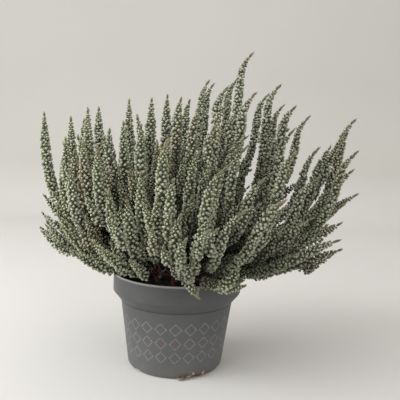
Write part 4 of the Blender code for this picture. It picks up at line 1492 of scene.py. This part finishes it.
def lozenges(made, place):
    """Masks of the printed lozenges' edges and of their hearts, round the pot in rows."""
    axes = along_axes(made, place)
    angle = calculated(made, "ARCTAN2", axes["X"], axes["Y"])
    across = calculated(made, "MULTIPLY_ADD", angle, LOZENGES / (2 * math.pi), 0.5)
    row = calculated(made, "MULTIPLY_ADD", axes["Z"], 1.0 / LOZENGE_HEIGHT, -PRINT_FOOT / LOZENGE_HEIGHT)
    gaps = []
    for value in (across, row):
        middle = calculated(made, "SUBTRACT", calculated(made, "FRACT", value), 0.5)
        gaps.append(calculated(made, "ABSOLUTE", middle))
    gap = calculated(made, "ADD", *gaps)
    inside = calculated(made, "COMPARE", row, PRINT_ROWS / 2, PRINT_ROWS / 2)
    edge = calculated(made, "COMPARE", gap, *LOZENGE_EDGE)
    heart = calculated(made, "LESS_THAN", gap, LOZENGE_HEART)
    middle_row = calculated(made, "COMPARE", row, PRINT_ROWS / 2, 0.5)
    return product(made, edge, inside), product(made, heart, middle_row)


def pot_finish():
    """Dark grey printed plastic with a fine grain, darker towards the top, a painted highlight along the
    lip, a painted shadow line under the band and a dusty foot.
    """
    made, node = shader("grey_plastic", POT_ROUGHNESS)
    place = object_place(made)
    height = along_axes(made, place)["Z"]
    base = ramp(made, noisy(made, *POT_CLOUD), PLASTIC)
    # the grain is darker towards the top and lighter towards the foot
    grain = product(made, varied(made, *POT_GRAIN), mapped(made, height, *DARKER_TOWARDS_TOP))
    # a painted highlight along the lip
    grain = product(made, grain, mapped(made, height, *LIP_HIGHLIGHT))
    # a painted shadow line just under the rim band
    band_shadow = calculated(made, "COMPARE", height, *BAND_SHADOW_LINE)
    grain = product(made, grain, mapped(made, band_shadow, 0.0, 1.0, 1.0, BAND_SHADOW_DARK))
    edge, heart = lozenges(made, place)
    worn = noisy(made, *INK_GRAIN)
    ink = mapped(made, worn, *INK_ENDS, INK_LEAST * PRINT_STRENGTH, PRINT_STRENGTH)
    colour = mixed(made, product(made, edge, ink), scaled(made, base, grain), PALE_INK)
    colour = mixed(made, product(made, heart, HEART_STRENGTH), colour, PLUM_INK)
    smudge = mapped(made, noisy(made, *SMUDGE_GRAIN), *SMUDGES)
    colour = mixed(made, product(made, mapped(made, height, *DUSTY_FOOT), smudge), colour, DUST)
    link(made, colour, node.inputs["Base Color"])
    bumped(made, node, *POT_BUMP)
    return made


def backdrop_finish():
    """Pale matt paint, a little darker up the wall."""
    made, node = shader("pale_backdrop", 0.9)
    floor, wall = [ramp(made, noisy(made, *PAINT_GRAIN), stops) for stops in (FLOOR_PAINT, WALL_PAINT)]
    height = along_axes(made, object_place(made))["Z"]
    link(made, mixed(made, mapped(made, height, *WALL_FROM), floor, wall), node.inputs["Base Color"])
    return made


def build_stage():
    """A pale floor that curves up into a wall behind the plant."""
    profile = [(STAGE_FRONT, 0.0), (STAGE_BACK - STAGE_BEND, 0.0)]
    for i in range(1, STAGE_STEPS + 1):
        angle = math.pi / 2 * i / STAGE_STEPS
        profile.append((STAGE_BACK - STAGE_BEND + STAGE_BEND * math.sin(angle),
                        STAGE_BEND * (1 - math.cos(angle))))
    profile.append((STAGE_BACK, STAGE_HEIGHT))
    mesh = bmesh.new()
    rows = [[mesh.verts.new((x, y, z)) for y, z in profile] for x in (-STAGE_SIDE, STAGE_SIDE)]
    for i in range(len(profile) - 1):
        mesh.faces.new((rows[0][i], rows[1][i], rows[1][i + 1], rows[0][i + 1]))
    backdrop = from_bmesh("backdrop", mesh)
    backdrop.data.materials.append(backdrop_finish())


def build_lights():
    """Soft daylight from the upper left, a weak fill and an even pale surround."""
    for name, place, target, size, power, colour in LIGHTS:
        light = bpy.data.lights.new(name, "AREA")
        light.shape = "DISK"
        light.size = size
        light.energy = power
        light.color = colour
        lamp = bpy.data.objects.new(name, light)
        lamp.location = place
        lamp.rotation_euler = (Vector(target) - Vector(place)).to_track_quat("-Z", "Y").to_euler()
        bpy.context.scene.collection.objects.link(lamp)
    world = bpy.data.worlds.new("surround")
    world.use_nodes = True
    background = world.node_tree.nodes["Background"]
    background.inputs["Color"].default_value = SURROUND_COLOUR
    background.inputs["Strength"].default_value = SURROUND_STRENGTH
    bpy.context.scene.world = world


def build_camera():
    """The camera at the photograph's place, turned by its pitch, yaw and roll."""
    pitch, yaw, roll = CAMERA_PITCH, CAMERA_YAW, CAMERA_ROLL
    forward = Vector((math.sin(yaw) * math.cos(pitch), math.cos(yaw) * math.cos(pitch), math.sin(pitch)))
    right = Vector((math.cos(yaw), -math.sin(yaw), 0.0))
    up = right.cross(forward)
    turned_right = right * math.cos(roll) + up * math.sin(roll)
    turned_up = up * math.cos(roll) - right * math.sin(roll)
    data = bpy.data.cameras.new("camera")
    data.lens = CAMERA_LENS
    data.sensor_width = CAMERA_SENSOR
    camera = bpy.data.objects.new("camera", data)
    camera.matrix_world = Matrix.Translation(CAMERA_PLACE) @ Matrix((
        (turned_right.x, turned_up.x, -forward.x, 0.0),
        (turned_right.y, turned_up.y, -forward.y, 0.0),
        (turned_right.z, turned_up.z, -forward.z, 0.0),
        (0.0, 0.0, 0.0, 1.0),
    ))
    bpy.context.scene.collection.objects.link(camera)
    bpy.context.scene.camera = camera


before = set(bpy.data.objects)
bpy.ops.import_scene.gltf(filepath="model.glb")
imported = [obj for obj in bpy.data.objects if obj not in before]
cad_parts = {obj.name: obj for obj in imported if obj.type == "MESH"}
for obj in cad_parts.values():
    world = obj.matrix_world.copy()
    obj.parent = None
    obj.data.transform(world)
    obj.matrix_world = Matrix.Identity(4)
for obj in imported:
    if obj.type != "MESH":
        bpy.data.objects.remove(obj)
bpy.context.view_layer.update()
build_camera()
build_lights()
build_stage()
PATHS, OWNERS, BASES = plan_foliage()
build_pot(pot_finish())
build_soil(soil_finish())
build_roots(root_finish())
build_wood(bark_finish(), woody_stems(BASES), BASES)
BUD_FINISH = bud_finish()
build_sprays(BUD_FINISH, PATHS, OWNERS)
build_shoots("rim_sprigs", BUD_FINISH, SEED + 4, RIM_SPRIGS, RIM_SIZE, RIM_LIGHT, RIM_FRESH)
build_shoots("right_bunch", BUD_FINISH, SEED + 5, BUNCH_SHOOTS, BUNCH_SIZE, BUNCH_LIGHT, BUNCH_FRESH)
bpy.context.scene.view_settings.view_transform = "Standard"
bpy.context.view_layer.update()
